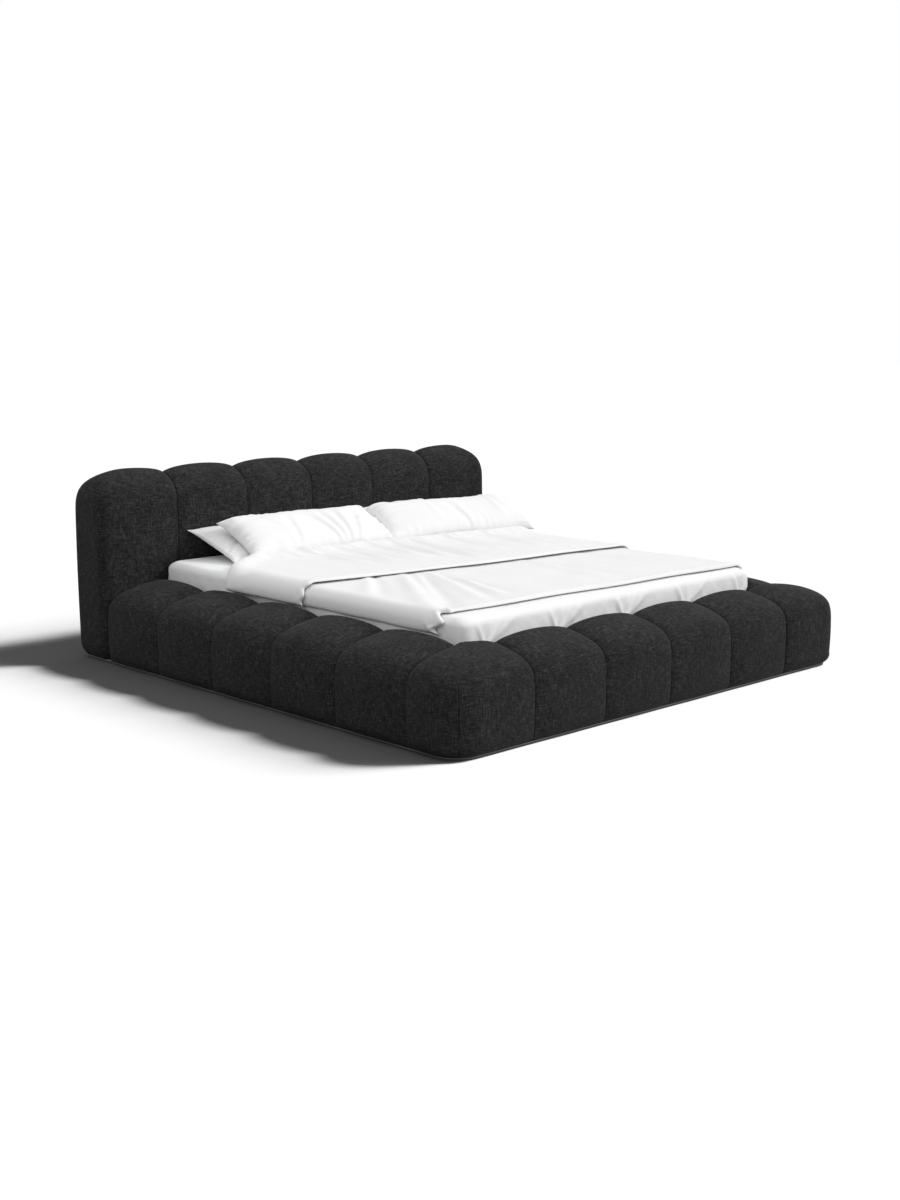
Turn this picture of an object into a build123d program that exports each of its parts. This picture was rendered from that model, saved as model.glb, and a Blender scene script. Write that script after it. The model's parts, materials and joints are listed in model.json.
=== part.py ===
from build123d import *
import os
from math import asin, cos, pi, radians, sin, sqrt

# An upholstered storage bed: a padded headboard, two padded side rails and a
# padded footboard round a mattress on a slatted platform that lifts at the
# foot end. Sizes are millimetres. The origin is on the floor at the middle of
# the outline, +Y points to the head end and +Z up. Distances from the
# headboard towards the foot end are called reach.

# Mattress and the well it lies in
mattress_width = 1800
mattress_length = 1990
mattress_bottom = 220
mattress_top = 440
mattress_side_gap = 10
mattress_head_gap = 8
mattress_foot_gap = 14
mattress_corner_radius = 45
mattress_edge_radius = 34
sheet_thickness = 2
sheet_play = 0.2
soft_clearance = 0.3

# Padded outline
lobes_across = 6
lobes_along = 5
lobe_pitch = 400
foot_thickness = 250
head_thickness = 225
low_valley_height = 342
low_crest_rise = 38
head_valley_height = 834
head_crest_rise = 36
base_height = 10
face_tuck = 3
low_valley_bulge = 4
low_crest_bulge = 24
head_valley_bulge = 1
head_crest_bulge = 21
foot_corner_floor = 110
foot_corner_wall = 150
foot_corner_top = 165
head_corner_floor = 50
head_corner_wall = 62
head_corner_top = 88
corner_reach = 2
low_belly_height = 154
low_wall_reach = 94
head_belly_height = 370
head_wall_reach = 290
wall_ease = 3

# Timber core inside the pads
board = 18
rail_cover = 70
foot_cover = 70
head_cover = 60
core_height = 262
inner_board_height = 284
head_core_height = 755
rail_rib_count = 6
foot_rib_count = 7
head_rib_count = 7
floor_lip = 20
floor_panel_thickness = 8
floor_panel_gap = 1
centre_rail_width = 80
foot_batten_depth = 38
foot_batten_height = 40
bolt_radius = 5
bolt_head_radius = 9
bolt_head_thickness = 6
bolt_clearance = 0.2
bolt_heights = (70, 190)

# Lift platform
tube = 30
tube_wall = 2
platform_side_gap = 44
platform_foot_gap = 26
platform_head_gap = 25
tube_bottom = 170
centre_tube_width = 40
slat_rows = 14
slat_width = 64
slat_thickness = 8
slat_bow = 8.7
slat_entry = 14
pocket_play = 1.2
slat_first_reach = 95
slat_last_gap = 66
holder_width = 24
holder_length = 72
holder_height = 14.5
holder_floor = 2.7
slat_seat = 0.3
stop_width = 70
stop_thickness = 4
stop_height = 80
stop_spacing = 900
strap_width = 40
strap_thickness = 2
strap_height = 95

# Lift mechanism, one set at each side
pivot_drop = 115
link_length = 280
link_pivot_reach = 200
link_pivot_height = 165
lift_angle = 39
link_turns_share = 2
guide_arm = 130
guide_drop = 15
spring_arm = 150
spring_arm_angle = 80
spring_spread_angle = 84
plate = 4
link_gap = 3
spring_gap = 15
stud_radius = 6
pin_radius = 5
running_gap = 0.05
stud_head_radius = 10
stud_head_thickness = 2.4
roller_radius = 7
roller_gap = 0.3
slot_steps = 24
slot_span_count = 6
link_half_width = 18
lever_half_width = 15
plate_margin = 24
cylinder_radius = 10
cylinder_bore_radius = 7
cylinder_start = 13
cylinder_end = 152
cylinder_wall = 4
rod_radius = 4
rod_length = 168
piston_radius = 6.8
piston_length = 12
eye_radius = 10
eye_width = 8
mount_screw_radius = 7
mount_screw_head = 2
boss_radius = 9
eye_boss_radius = 8
top_plate_radius = 22
top_plate_end = 130
top_plate_edge = 12
spring_neck_radius = 3.8

# Bedding
duvet_thickness = 18
duvet_puff = 10
duvet_side_gap = 2
duvet_hem_height = 368
duvet_left_reach = 300
duvet_side_reach = 800
duvet_head_reach = 405
duvet_head_bend = 120
duvet_head_right = 570
duvet_foot_left = 1868
duvet_foot_right = 1958
band_foot_left = 1050
band_foot_right = 1275
band_thickness = 18
pillow_width = 840
pillow_height = 300
pillow_edge = 5
pillow_tilt = 26
left_pillow_centre = -255
pillow_gap = 29
right_pillow_shift = 70
right_pillow_turn = 8
back_pillow_reach = 190
back_pillow_under = 36
back_pillow_over = 22
front_pillow_shift = 60
front_pillow_under = 14
front_pillow_over = 100
pillow_end_shift = 26

# Derived places
inner_width = mattress_width + 2 * mattress_side_gap
inner_length = mattress_length + mattress_head_gap + mattress_foot_gap
outline_width = lobes_across * lobe_pitch
rail_thickness = (outline_width - inner_width) / 2
low_bulge = low_valley_bulge + low_crest_bulge
head_bulge = head_valley_bulge + head_crest_bulge
outline_length = foot_thickness + inner_length + head_bulge + head_thickness
foot_base_y = -(outline_length + head_bulge - low_bulge) / 2
well_foot_y = foot_base_y + foot_thickness
well_head_y = well_foot_y + inner_length
head_base_y = well_head_y + head_bulge
head_back_y = head_base_y + head_thickness
left_base_x = -outline_width / 2
well_half = inner_width / 2
platform_half_width = well_half - platform_side_gap
link_plane = platform_half_width + plate + link_gap
spring_plane = link_plane + plate + spring_gap
rail_pitch = inner_length / lobes_along
crest_height = low_valley_height + low_crest_rise
head_height = head_valley_height + head_crest_rise
floor_top = base_height + floor_panel_thickness
tube_top = tube_bottom + tube
pad_overrun = 5
right_pillow_centre = left_pillow_centre + pillow_width + pillow_gap

# Places along a lobe, as shares of half its pitch, where its section is drawn
lobe_shares = (-1, -0.92, -0.6, 0, 0.6, 0.92, 1)


def reach(distance):
    """Y of a place given by its distance in front of the headboard."""
    return well_head_y - distance


def crown_share(share):
    """How full the pad stands at a place along a lobe, from 0 in the valley to 1."""
    return sqrt(max(0, 1 - share * share))


def block(x_range, y_range, z_range):
    """A plain box from its limits on each axis."""
    (x0, x1), (y0, y1), (z0, z1) = x_range, y_range, z_range
    corner = (Align.MIN, Align.MIN, Align.MIN)
    return Pos(x0, y0, z0) * Box(x1 - x0, y1 - y0, z1 - z0, align=corner)


def rod_between(radius, start, end):
    """A round bar between two points."""
    axis = Vector(*end) - Vector(*start)
    plane = Plane(origin=start, z_dir=axis)
    return extrude(plane * Circle(radius), axis.length)


def mirrored(solid):
    """The same piece for the other side of the bed."""
    return mirror(solid, about=Plane.YZ)


def arc_face(plane, arcs, lines):
    """A closed face in a plane from three-point arcs followed by straight lines."""
    edges = [ThreePointArc(*arc) for arc in arcs]
    edges += [Line(start, end) for start, end in zip(lines, lines[1:])]
    return plane * make_face(edges)


def across(along):
    """The plane of a pad's section: outward is local x and up is local y."""
    return Plane(origin=(along, 0, 0), x_dir=(0, -1, 0), z_dir=(-1, 0, 0))


# How far each point of the low pad's outline follows the bulge and the rise
low_out_shares = {"brow": 0.8, "crown_edge": 0.5}
low_up_shares = {"brow": 0.6, "crown_edge": 0.85, "crown": 1}
low_up_shares.update({"back_crown": 0.8, "back_brow": 0.37})
brow_in = 21
brow_drop = 54
crown_edge_in = 84
crown_edge_drop = 26
crown_in = 68
back_crown_in = 26
back_crown_drop = 8
back_brow_in = 7
back_brow_drop = 29
back_edge_drop = 56


def wall_points(belly_out, belly_height, wall_reach):
    """Points up a pad's outer face: a foot rolled under to meet its wall upright, and the wall."""
    wall_out = belly_out - wall_ease
    wall_low = belly_height - wall_reach
    under, rise = wall_out + face_tuck, wall_low - base_height
    roll = (under * under + rise * rise) / (2 * under)
    half_turn = asin(rise / roll) / 2
    return {
        "foot": (-face_tuck, base_height),
        "tuck": (wall_out - roll * (1 - cos(half_turn)), wall_low - roll * sin(half_turn)),
        "wall_low": (wall_out, wall_low),
        "belly": (belly_out, belly_height),
        "wall_high": (wall_out, belly_height + wall_reach),
    }


def low_outline(thickness, full):
    """Points of a rail's or the footboard's pad section, (outward, up)."""

    def point(name, inset, drop):
        out = low_crest_bulge * full * low_out_shares.get(name, 0) - inset
        return (out, low_valley_height - drop + low_crest_rise * full * low_up_shares[name])

    belly_out = low_valley_bulge + low_crest_bulge * full
    points = wall_points(belly_out, low_belly_height, low_wall_reach)
    points["brow"] = point("brow", brow_in, brow_drop)
    points["crown_edge"] = point("crown_edge", crown_edge_in, crown_edge_drop)
    points["crown"] = point("crown", thickness - crown_in, 0)
    points["back_crown"] = point("back_crown", thickness - back_crown_in, back_crown_drop)
    points["back_brow"] = point("back_brow", thickness - back_brow_in, back_brow_drop)
    points["back_edge"] = (-thickness, low_valley_height - back_edge_drop)
    points["back_foot"] = (-thickness, base_height)
    return points


def outer_arcs(p):
    """The arcs from a pad's foot up its wall and over its brow."""
    tuck = (p["foot"], p["tuck"], p["wall_low"])
    wall = (p["wall_low"], p["belly"], p["wall_high"])
    return [tuck, wall, (p["wall_high"], p["brow"], p["crown_edge"])]


def low_section(thickness, along, full):
    """Section of a rail's or the footboard's pad at a place along it."""
    p = low_outline(thickness, full)
    arcs = outer_arcs(p)
    arcs.append((p["crown_edge"], p["crown"], p["back_crown"]))
    arcs.append((p["back_crown"], p["back_brow"], p["back_edge"]))
    return arc_face(across(along), arcs, [p["back_edge"], p["back_foot"], p["foot"]])


head_brow_in = 40
head_brow_drop = 42
head_crown_edge_in = 78
head_crown_edge_drop = 14
head_out_shares = {"brow": 0.75, "crown_edge": 0.4}
head_up_shares = {"brow": 0.6, "crown_edge": 0.86}


def head_side(full):
    """Points of one face of the headboard's pad section, (outward, up)."""
    top = head_valley_height
    rise = head_crest_rise * full
    out = head_crest_bulge * full

    def point(name, inset, drop):
        return (out * head_out_shares[name] - inset, top - drop + rise * head_up_shares[name])

    points = wall_points(head_valley_bulge + out, head_belly_height, head_wall_reach)
    points["brow"] = point("brow", head_brow_in, head_brow_drop)
    points["crown_edge"] = point("crown_edge", head_crown_edge_in, head_crown_edge_drop)
    return points


def head_section(along, full):
    """Section of the headboard's pad, the same on its front and its back."""
    front = head_side(full)
    back = {name: (-head_thickness - out, up) for name, (out, up) in front.items()}
    crown = (-head_thickness / 2, head_valley_height + head_crest_rise * full)
    arcs = outer_arcs(front) + [(front["crown_edge"], crown, back["crown_edge"])]
    arcs += [tuple(reversed(arc)) for arc in reversed(outer_arcs(back))]
    return arc_face(across(along), arcs, [back["foot"], front["foot"]])


def lobe(section, pitch):
    """One pad between two sewn valleys, with its crown along the row."""
    return loft([section(pitch / 2 * share, crown_share(share)) for share in lobe_shares], ruled=True)


def end_lobe(section, pitch, overhang):
    """A pad that is sewn down at its right end and runs on full past its left end."""
    inner = [(share, crown_share(share)) for share in lobe_shares if share >= 0]
    places = [(-pitch / 2 - overhang, 1)] + [(pitch / 2 * share, full) for share, full in inner]
    return loft([section(along, full) for along, full in places], ruled=True)


def side_wall(points, depth, top, length):
    """The outer side of a corner pad: everything inside its side outline."""
    plane = Plane(origin=(0, 0, 0), x_dir=(-1, 0, 0), z_dir=(0, 1, 0))
    foot, edge = points["foot"], points["crown_edge"]
    over = top + pad_overrun
    lines = [edge, (-depth / 2, over), (-depth, over), (-depth, 0), (-face_tuck, 0), foot]
    return extrude(arc_face(plane, outer_arcs(points), lines), length / 2, both=True)


def corner_prism(width, depth, heights, offsets, radii, both_corners):
    """A tapering upright block that rounds the outer corners of a corner pad."""
    sections = []
    for height, offset, radius in zip(heights, offsets, radii):
        left, front = -offset - corner_reach, -offset - corner_reach
        back = depth + (offset + corner_reach if both_corners else 0)
        outline = ((width, front), (left, front), (left, back), (width, back))
        face = make_face(Polyline(*outline, close=True))
        corners = [v for v in face.vertices() if v.X < width / 2]
        corners = [v for v in corners if both_corners or v.Y < depth / 2]
        sections.append(Pos(0, 0, height) * fillet(corners, radius))
    return loft(sections, ruled=True)


def core_box(half_width, y_range, z_range):
    """The timber core's outer limits, cut out of the pads round it."""
    return block((-half_width, half_width), y_range, z_range)


foot_core_y = (foot_base_y + foot_cover, well_foot_y)
head_core_y = (head_base_y + head_cover, head_back_y - head_cover)
rail_core_x = (left_base_x + rail_cover, -well_half)
rail_core_y = (well_foot_y, head_core_y[0])
foot_core_half = -rail_core_x[0]


def rail_core():
    """Limits of the left rail's timber: its box and the taller board at the well."""
    box = block(rail_core_x, rail_core_y, (0, core_height))
    inner = (rail_core_x[1] - board, rail_core_x[1])
    return box + block(inner, rail_core_y, (0, inner_board_height))


def foot_core():
    box = core_box(foot_core_half, foot_core_y, (0, core_height))
    inner = (foot_core_y[1] - board, foot_core_y[1])
    return box + core_box(well_half, inner, (0, inner_board_height))


def head_core():
    return core_box(foot_core_half, head_core_y, (0, head_core_height))


def foot_lobes():
    """The footboard's six pads, the outer two turning the corner."""
    core = foot_core()

    def section(along, full):
        return low_section(foot_thickness, along, full)

    middle = lobe(section, lobe_pitch)
    pads = {}
    for index in range(1, lobes_across - 1):
        x = left_base_x + (index + 0.5) * lobe_pitch
        pads[f"footboard_lobe_{index + 1}"] = Pos(x, foot_base_y, 0) * middle - core
    walls = (low_belly_height - low_wall_reach, low_belly_height + low_wall_reach)
    heights = (0, base_height, *walls, crest_height + pad_overrun)
    offsets = (-face_tuck, -face_tuck, low_bulge, low_bulge, -crown_edge_in / 4)
    radii = 2 * (foot_corner_floor,) + 2 * (foot_corner_wall,) + (foot_corner_top,)
    row = end_lobe(section, lobe_pitch, 2 * low_bulge)
    side = side_wall(low_outline(foot_thickness, 1), lobe_pitch, crest_height, 4 * foot_thickness)
    prism = corner_prism(lobe_pitch, foot_thickness, heights, offsets, radii, False)
    corner = (Pos(lobe_pitch / 2, 0, 0) * row) & side & prism
    corner = Pos(left_base_x, foot_base_y, 0) * corner - core
    pads["footboard_lobe_1"] = corner
    pads[f"footboard_lobe_{lobes_across}"] = mirrored(corner)
    return pads


def head_lobes():
    """The headboard's six pads, notched where the rails run in to its timber."""
    rails = rail_core()
    core = head_core() + rails + mirrored(rails)
    middle = lobe(head_section, lobe_pitch)
    pads = {}
    for index in range(1, lobes_across - 1):
        x = left_base_x + (index + 0.5) * lobe_pitch
        pads[f"headboard_lobe_{index + 1}"] = Pos(x, head_base_y, 0) * middle - core
    walls = (head_belly_height - head_wall_reach, head_belly_height + head_wall_reach)
    heights = (0, base_height, *walls, head_height + pad_overrun)
    offsets = (-face_tuck, -face_tuck, head_bulge, head_bulge, -head_crown_edge_in / 4)
    radii = 2 * (head_corner_floor,) + 2 * (head_corner_wall,) + (head_corner_top,)
    row = end_lobe(head_section, lobe_pitch, 2 * head_bulge)
    outline = head_side(1)
    side = side_wall(outline, lobe_pitch, head_height, 4 * head_thickness)
    prism = corner_prism(lobe_pitch, head_thickness, heights, offsets, radii, True)
    corner = (Pos(lobe_pitch / 2, 0, 0) * row) & side & prism
    corner = Pos(left_base_x, head_base_y, 0) * corner - core
    pads["headboard_lobe_1"] = corner
    pads[f"headboard_lobe_{lobes_across}"] = mirrored(corner)
    return pads


def rail_lobes():
    """Five pads along each side rail, from the foot end to the head end."""
    core = rail_core()
    pad = lobe(lambda along, full: low_section(rail_thickness, along, full), rail_pitch)
    turned = Rot(0, 0, -90) * pad
    pads = {}
    for index in range(lobes_along):
        y = well_foot_y + (index + 0.5) * rail_pitch
        left = Pos(left_base_x, y, 0) * turned - core
        pads[f"left_rail_lobe_{index + 1}"] = left
        pads[f"right_rail_lobe_{index + 1}"] = mirrored(left)
    return pads


def spread(first, last, count):
    """Places of evenly spaced copies from the first to the last."""
    step = (last - first) / (count - 1)
    return [first + index * step for index in range(count)]


def bolt(x, y, height, toward):
    """A bolt with its head and nut through two boards that meet at y."""
    half = board + bolt_head_thickness
    shank = rod_between(bolt_radius, (x, y - toward * half, height), (x, y + toward * half, height))
    head = rod_between(bolt_head_radius, (x, y + toward * board, height), (x, y + toward * half, height))
    nut = rod_between(bolt_head_radius, (x, y - toward * board, height), (x, y - toward * half, height))
    return shank + head + nut


bolt_x = (rail_core_x[0] + rail_core_x[1]) / 2
bolt_places = [
    (side * bolt_x, y, height, toward)
    for side in (1, -1)
    for y, toward in ((well_foot_y, 1), (head_core_y[0], -1))
    for height in bolt_heights
]


def bolt_holes():
    """Clearance holes for the bolts that join the rails to the two ends."""
    radius = bolt_radius + bolt_clearance
    holes = [rod_between(radius, (x, y - board, z), (x, y + board, z)) for x, y, z, _ in bolt_places]
    return Compound(children=holes)


def base_plate(x_range, y_range):
    return block(x_range, y_range, (0, base_height))


outer_base_x = left_base_x + face_tuck
lip_x = (-well_half + floor_lip, well_half - floor_lip)


def rail_frame(holes):
    """The left rail's box: outer board, top board and ribs on its base board."""
    x_outer = (rail_core_x[0], rail_core_x[0] + board)
    x_inside = (rail_core_x[0], rail_core_x[1] - board)
    frame = base_plate((outer_base_x, -well_half + floor_lip), (well_foot_y, head_base_y + face_tuck))
    frame += block(x_outer, rail_core_y, (base_height, core_height))
    frame += block(x_inside, rail_core_y, (core_height - board, core_height))
    for y in spread(rail_core_y[0], rail_core_y[1] - board, rail_rib_count):
        frame += block(x_inside, (y, y + board), (base_height, core_height))
    return frame - holes


def foot_frame():
    """The footboard's box on its base board, round at the outer corners."""
    x_all = (-foot_core_half, foot_core_half)
    inner_y = foot_core_y[1] - board
    base = base_plate((outer_base_x, -outer_base_x), (foot_base_y + face_tuck, well_foot_y))
    corners = [e for e in base.edges().filter_by(Axis.Z) if e.center().Y < foot_base_y + foot_cover]
    base = fillet(corners, foot_corner_floor - corner_reach)
    frame = base + base_plate(lip_x, (well_foot_y, well_foot_y + floor_lip))
    frame += block(x_all, (foot_core_y[0], foot_core_y[0] + board), (base_height, core_height))
    frame += block(x_all, (foot_core_y[0], inner_y), (core_height - board, core_height))
    for x in spread(x_all[0], x_all[1] - board, foot_rib_count):
        frame += block((x, x + board), (foot_core_y[0], inner_y), (base_height, core_height))
    return frame


def foot_inner_board(holes):
    """The board behind the mattress's foot, with the batten the platform rests on."""
    y_range = (well_foot_y - board, well_foot_y)
    plate_board = block((-foot_core_half, foot_core_half), y_range, (base_height, core_height))
    plate_board += block((-well_half, well_half), y_range, (base_height, inner_board_height))
    batten_top = tube_bottom - soft_clearance
    batten_x = (-platform_half_width + tube, platform_half_width - tube)
    batten_z = (batten_top - foot_batten_height, batten_top)
    batten = block(batten_x, (well_foot_y, well_foot_y + foot_batten_depth), batten_z)
    return plate_board + batten - holes


def head_frame():
    """The headboard's box: back board, top board and ribs on its base board."""
    x_all = (-foot_core_half, foot_core_half)
    front_y = head_core_y[0] + board
    base = base_plate((outer_base_x, -outer_base_x), (head_base_y + face_tuck, head_back_y - face_tuck))
    corners = [e for e in base.edges().filter_by(Axis.Z) if e.center().Y > head_core_y[1]]
    base = fillet(corners, head_corner_floor - corner_reach)
    frame = base + base_plate(lip_x, (well_head_y - floor_lip, head_base_y + face_tuck))
    frame += block(x_all, (head_core_y[1] - board, head_core_y[1]), (base_height, head_core_height))
    frame += block(x_all, (front_y, head_core_y[1]), (head_core_height - board, head_core_height))
    for x in spread(x_all[0], x_all[1] - board, head_rib_count):
        frame += block((x, x + board), (front_y, head_core_y[1]), (base_height, head_core_height))
    return frame


def timber():
    """The four timber boxes, their inner boards and the bolts that join them."""
    holes = bolt_holes()
    frame = rail_frame(holes)
    inner_x = (rail_core_x[1] - board, rail_core_x[1])
    inner = block(inner_x, rail_core_y, (base_height, inner_board_height))
    front_y = (head_core_y[0], head_core_y[0] + board)
    front = core_box(foot_core_half, front_y, (base_height, head_core_height))
    return {
        "headboard_frame": head_frame(),
        "headboard_front_board": front - holes,
        "left_rail_frame": frame,
        "right_rail_frame": mirrored(frame),
        "left_rail_inner_board": inner,
        "right_rail_inner_board": mirrored(inner),
        "footboard_frame": foot_frame(),
        "footboard_inner_board": foot_inner_board(holes),
        "frame_bolts": Compound(children=[bolt(*place) for place in bolt_places]),
    }


def storage_floor():
    """The two floor panels of the storage space and the rail under their joint."""
    x_range = (-well_half + floor_panel_gap, -floor_panel_gap)
    y_range = (well_foot_y + floor_panel_gap, well_head_y - floor_panel_gap)
    panel = block(x_range, y_range, (base_height, floor_top))
    half = centre_rail_width / 2
    rail = base_plate((-half, half), (well_foot_y + floor_lip, well_head_y - floor_lip))
    return {
        "storage_floor_left": panel,
        "storage_floor_right": mirrored(panel),
        "floor_centre_rail": rail,
    }


platform_y = (reach(inner_length - platform_foot_gap), reach(platform_head_gap))
tube_z = (tube_bottom, tube_top)
tube_inner_x = platform_half_width - tube


def box_tube(x_range, y_range, along_y):
    """A square steel tube lying along Y or across along X."""
    solid = block(x_range, y_range, tube_z)
    (x0, x1), (y0, y1) = x_range, y_range
    hollow_z = (tube_bottom + tube_wall, tube_top - tube_wall)
    if along_y:
        return solid - block((x0 + tube_wall, x1 - tube_wall), y_range, hollow_z)
    return solid - block(x_range, (y0 + tube_wall, y1 - tube_wall), hollow_z)


def lift_frame():
    """The welded steel frame that carries the slats."""
    y0, y1 = platform_y
    left = box_tube((-platform_half_width, -tube_inner_x), platform_y, True)
    across_x = (-tube_inner_x, tube_inner_x)
    half = centre_tube_width / 2
    return {
        "lift_frame_left_tube": left,
        "lift_frame_right_tube": mirrored(left),
        "lift_frame_head_tube": box_tube(across_x, (y1 - tube, y1), False),
        "lift_frame_foot_tube": box_tube(across_x, (y0, y0 + tube), False),
        "lift_frame_centre_tube": box_tube((-half, half), (y0 + tube, y1 - tube), True),
    }


slat_reaches = spread(slat_first_reach, inner_length - platform_foot_gap - slat_last_gap, slat_rows)
holder_outer_x = platform_half_width - (tube - holder_width) / 2
holder_inner_x = holder_outer_x - holder_width
centre_holder_half = centre_tube_width / 2 - floor_panel_gap
slat_x = (centre_holder_half - slat_entry, holder_inner_x + slat_entry)
slat_z = tube_top + holder_floor + slat_seat


def slat_pair(y):
    """Two bowed slats of one row, right and left of the centre tube."""
    start, end = slat_x
    middle = (start + end) / 2
    top = slat_z + slat_thickness
    plane = Plane(origin=(0, y + slat_width / 2, 0), x_dir=(1, 0, 0), z_dir=(0, -1, 0))
    edges = [
        ThreePointArc((start, slat_z), (middle, slat_z + slat_bow), (end, slat_z)),
        Line((end, slat_z), (end, top)),
        ThreePointArc((end, top), (middle, top + slat_bow), (start, top)),
        Line((start, top), (start, slat_z)),
    ]
    right = extrude(plane * make_face(edges), slat_width)
    return [right, mirrored(right)]


def slat_pockets(y):
    """The spaces in the holders that the slat ends of one row sit in."""
    y_range = (y - slat_width / 2 - slat_seat, y + slat_width / 2 + slat_seat)
    z_range = (tube_top + holder_floor, tube_top + holder_floor + slat_thickness + pocket_play)
    x_side = (holder_inner_x, holder_inner_x + slat_entry + slat_seat)
    x_centre = (centre_holder_half - slat_entry - slat_seat, centre_holder_half)
    pockets = [block(x_side, y_range, z_range), block(x_centre, y_range, z_range)]
    return pockets + [mirrored(pocket) for pocket in pockets]


def slat_holders(y):
    """The two side holders and the double centre holder of one row."""
    y_range = (y - holder_length / 2, y + holder_length / 2)
    z_range = (tube_top, tube_top + holder_height)
    side = block((holder_inner_x, holder_outer_x), y_range, z_range)
    centre = block((-centre_holder_half, centre_holder_half), y_range, z_range)
    pockets = slat_pockets(y)
    return [side - pockets[0], mirrored(side) - pockets[2], centre - pockets[1] - pockets[3]]


def slatted_base():
    """Bowed slats in their plastic holders, in evenly spaced rows."""
    slats, holders = [], []
    for distance in slat_reaches:
        slats += slat_pair(reach(distance))
        holders += slat_holders(reach(distance))
    return {"slats": Compound(children=slats), "slat_holders": Compound(children=holders)}


def platform_fittings():
    """Two plates that stop the mattress sliding and the strap that lifts the foot."""
    back = reach(platform_head_gap)
    front = reach(mattress_head_gap)
    plates = []
    for x in (-stop_spacing / 2, stop_spacing / 2):
        x_range = (x - stop_width / 2, x + stop_width / 2)
        upright_y = (front + soft_clearance, front + soft_clearance + stop_thickness)
        upright = block(x_range, upright_y, (tube_bottom, tube_top + stop_height))
        flange = block(x_range, (back, upright_y[0]), (tube_bottom, tube_bottom + stop_thickness))
        plates.append(upright + flange)
    hem = reach(inner_length - mattress_foot_gap)
    strap_y = (hem - soft_clearance - strap_thickness, hem - soft_clearance)
    half = strap_width / 2
    strap = block((-half, half), strap_y, (tube_top, tube_top + strap_height))
    flat_y = (strap_y[0], platform_y[0] + tube)
    strap += block((-half, half), flat_y, (tube_top, tube_top + strap_thickness))
    return {"mattress_stops": Compound(children=plates), "lift_strap": strap}


# Lift geometry at the left side, in reach and height
drop_angle = asin(pivot_drop / link_length)
link_rest_angle = pi - drop_angle
top_pivot = (link_pivot_reach, link_pivot_height)
base_pivot = (link_pivot_reach + link_length * cos(drop_angle), link_pivot_height - pivot_drop)
guide_pin = (link_pivot_reach - guide_arm, link_pivot_height - guide_drop)


def polar(centre, distance, angle):
    return (centre[0] + distance * cos(angle), centre[1] + distance * sin(angle))


spring_rest_angle = radians(spring_arm_angle)
spring_top = polar(base_pivot, spring_arm, spring_rest_angle)
spring_foot = polar(base_pivot, spring_arm, spring_rest_angle + radians(spring_spread_angle))


def guide_path():
    """Places of the guide pin while the link and the platform turn together."""
    places = []
    for step in range(slot_steps + 1):
        turn = radians(lift_angle) * step / slot_steps
        pivot = polar(base_pivot, link_length, link_rest_angle - link_turns_share * turn)
        dx, dz = guide_pin[0] - top_pivot[0], guide_pin[1] - top_pivot[1]
        x = pivot[0] + dx * cos(turn) - dz * sin(turn)
        z = pivot[1] + dx * sin(turn) + dz * cos(turn)
        places.append((x, z))
    return places


def side_plane(distance):
    """Upright plane at the left side: local x is reach, and it faces outwards."""
    return Plane(origin=(-distance, well_head_y, 0), x_dir=(0, -1, 0), z_dir=(-1, 0, 0))


def disc(place, radius, start, end):
    """A round piece on a crosswise axis, between two distances from the middle."""
    return extrude(side_plane(start) * Pos(*place) * Circle(radius), end - start)


def hull_plate(circles, start, thickness):
    """A plate whose outline wraps tightly round circles, given as place and radius."""
    rounds = Sketch() + [Pos(*place) * Circle(radius) for place, radius in circles]
    return extrude(side_plane(start) * make_hull(rounds.edges()), thickness)


def slot_cut(path, radius, start, thickness):
    """A curved slot with round ends along the guide pin's path."""
    centre_line = Spline(path)
    band = trace(centre_line, line_width=2 * radius)
    ends = [Pos(*place) * Circle(radius) for place in (path[0], path[-1])]
    return extrude(side_plane(start) * (band + ends), thickness)


board_face = well_half
bracket_face = board_face - plate
link_outer = link_plane + plate
top_plate_outer = platform_half_width + plate
eye_half = eye_width / 2


def base_bracket():
    """The plate on the rail's inner board, with its two studs and guide slot."""
    path = guide_path()
    middle = path[len(path) // 2]
    corner = (guide_pin[0] + plate_margin, base_pivot[1])
    rounds = [(place, plate_margin) for place in (path[0], middle, path[-1], base_pivot, corner)]
    bracket = hull_plate(rounds, bracket_face, plate)
    slot_path = path[:: slot_steps // slot_span_count]
    bracket -= slot_cut(slot_path, roller_radius + roller_gap, bracket_face, plate)
    shoulder = link_outer + roller_gap
    bracket += disc(base_pivot, boss_radius, shoulder, bracket_face)
    bracket += disc(base_pivot, stud_radius, link_plane - roller_gap, bracket_face)
    head_end = link_plane - roller_gap
    bracket += disc(base_pivot, stud_head_radius, head_end - stud_head_thickness, head_end)
    eye_outer = spring_plane + eye_half + roller_gap
    bracket += disc(spring_foot, eye_boss_radius, eye_outer, bracket_face)
    eye_inner = spring_plane - eye_half - roller_gap
    bracket += disc(spring_foot, pin_radius, eye_inner, bracket_face)
    bracket += disc(spring_foot, eye_boss_radius, eye_inner - stud_head_thickness, eye_inner)
    low = (corner[0] + plate_margin, corner[1] + plate_margin)
    high = ((spring_foot[0] + path[-1][0]) / 2, (spring_foot[1] + path[-1][1]) / 2)
    for place in (low, high):
        bracket += disc(place, mount_screw_radius, bracket_face - mount_screw_head, bracket_face)
    return bracket


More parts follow.
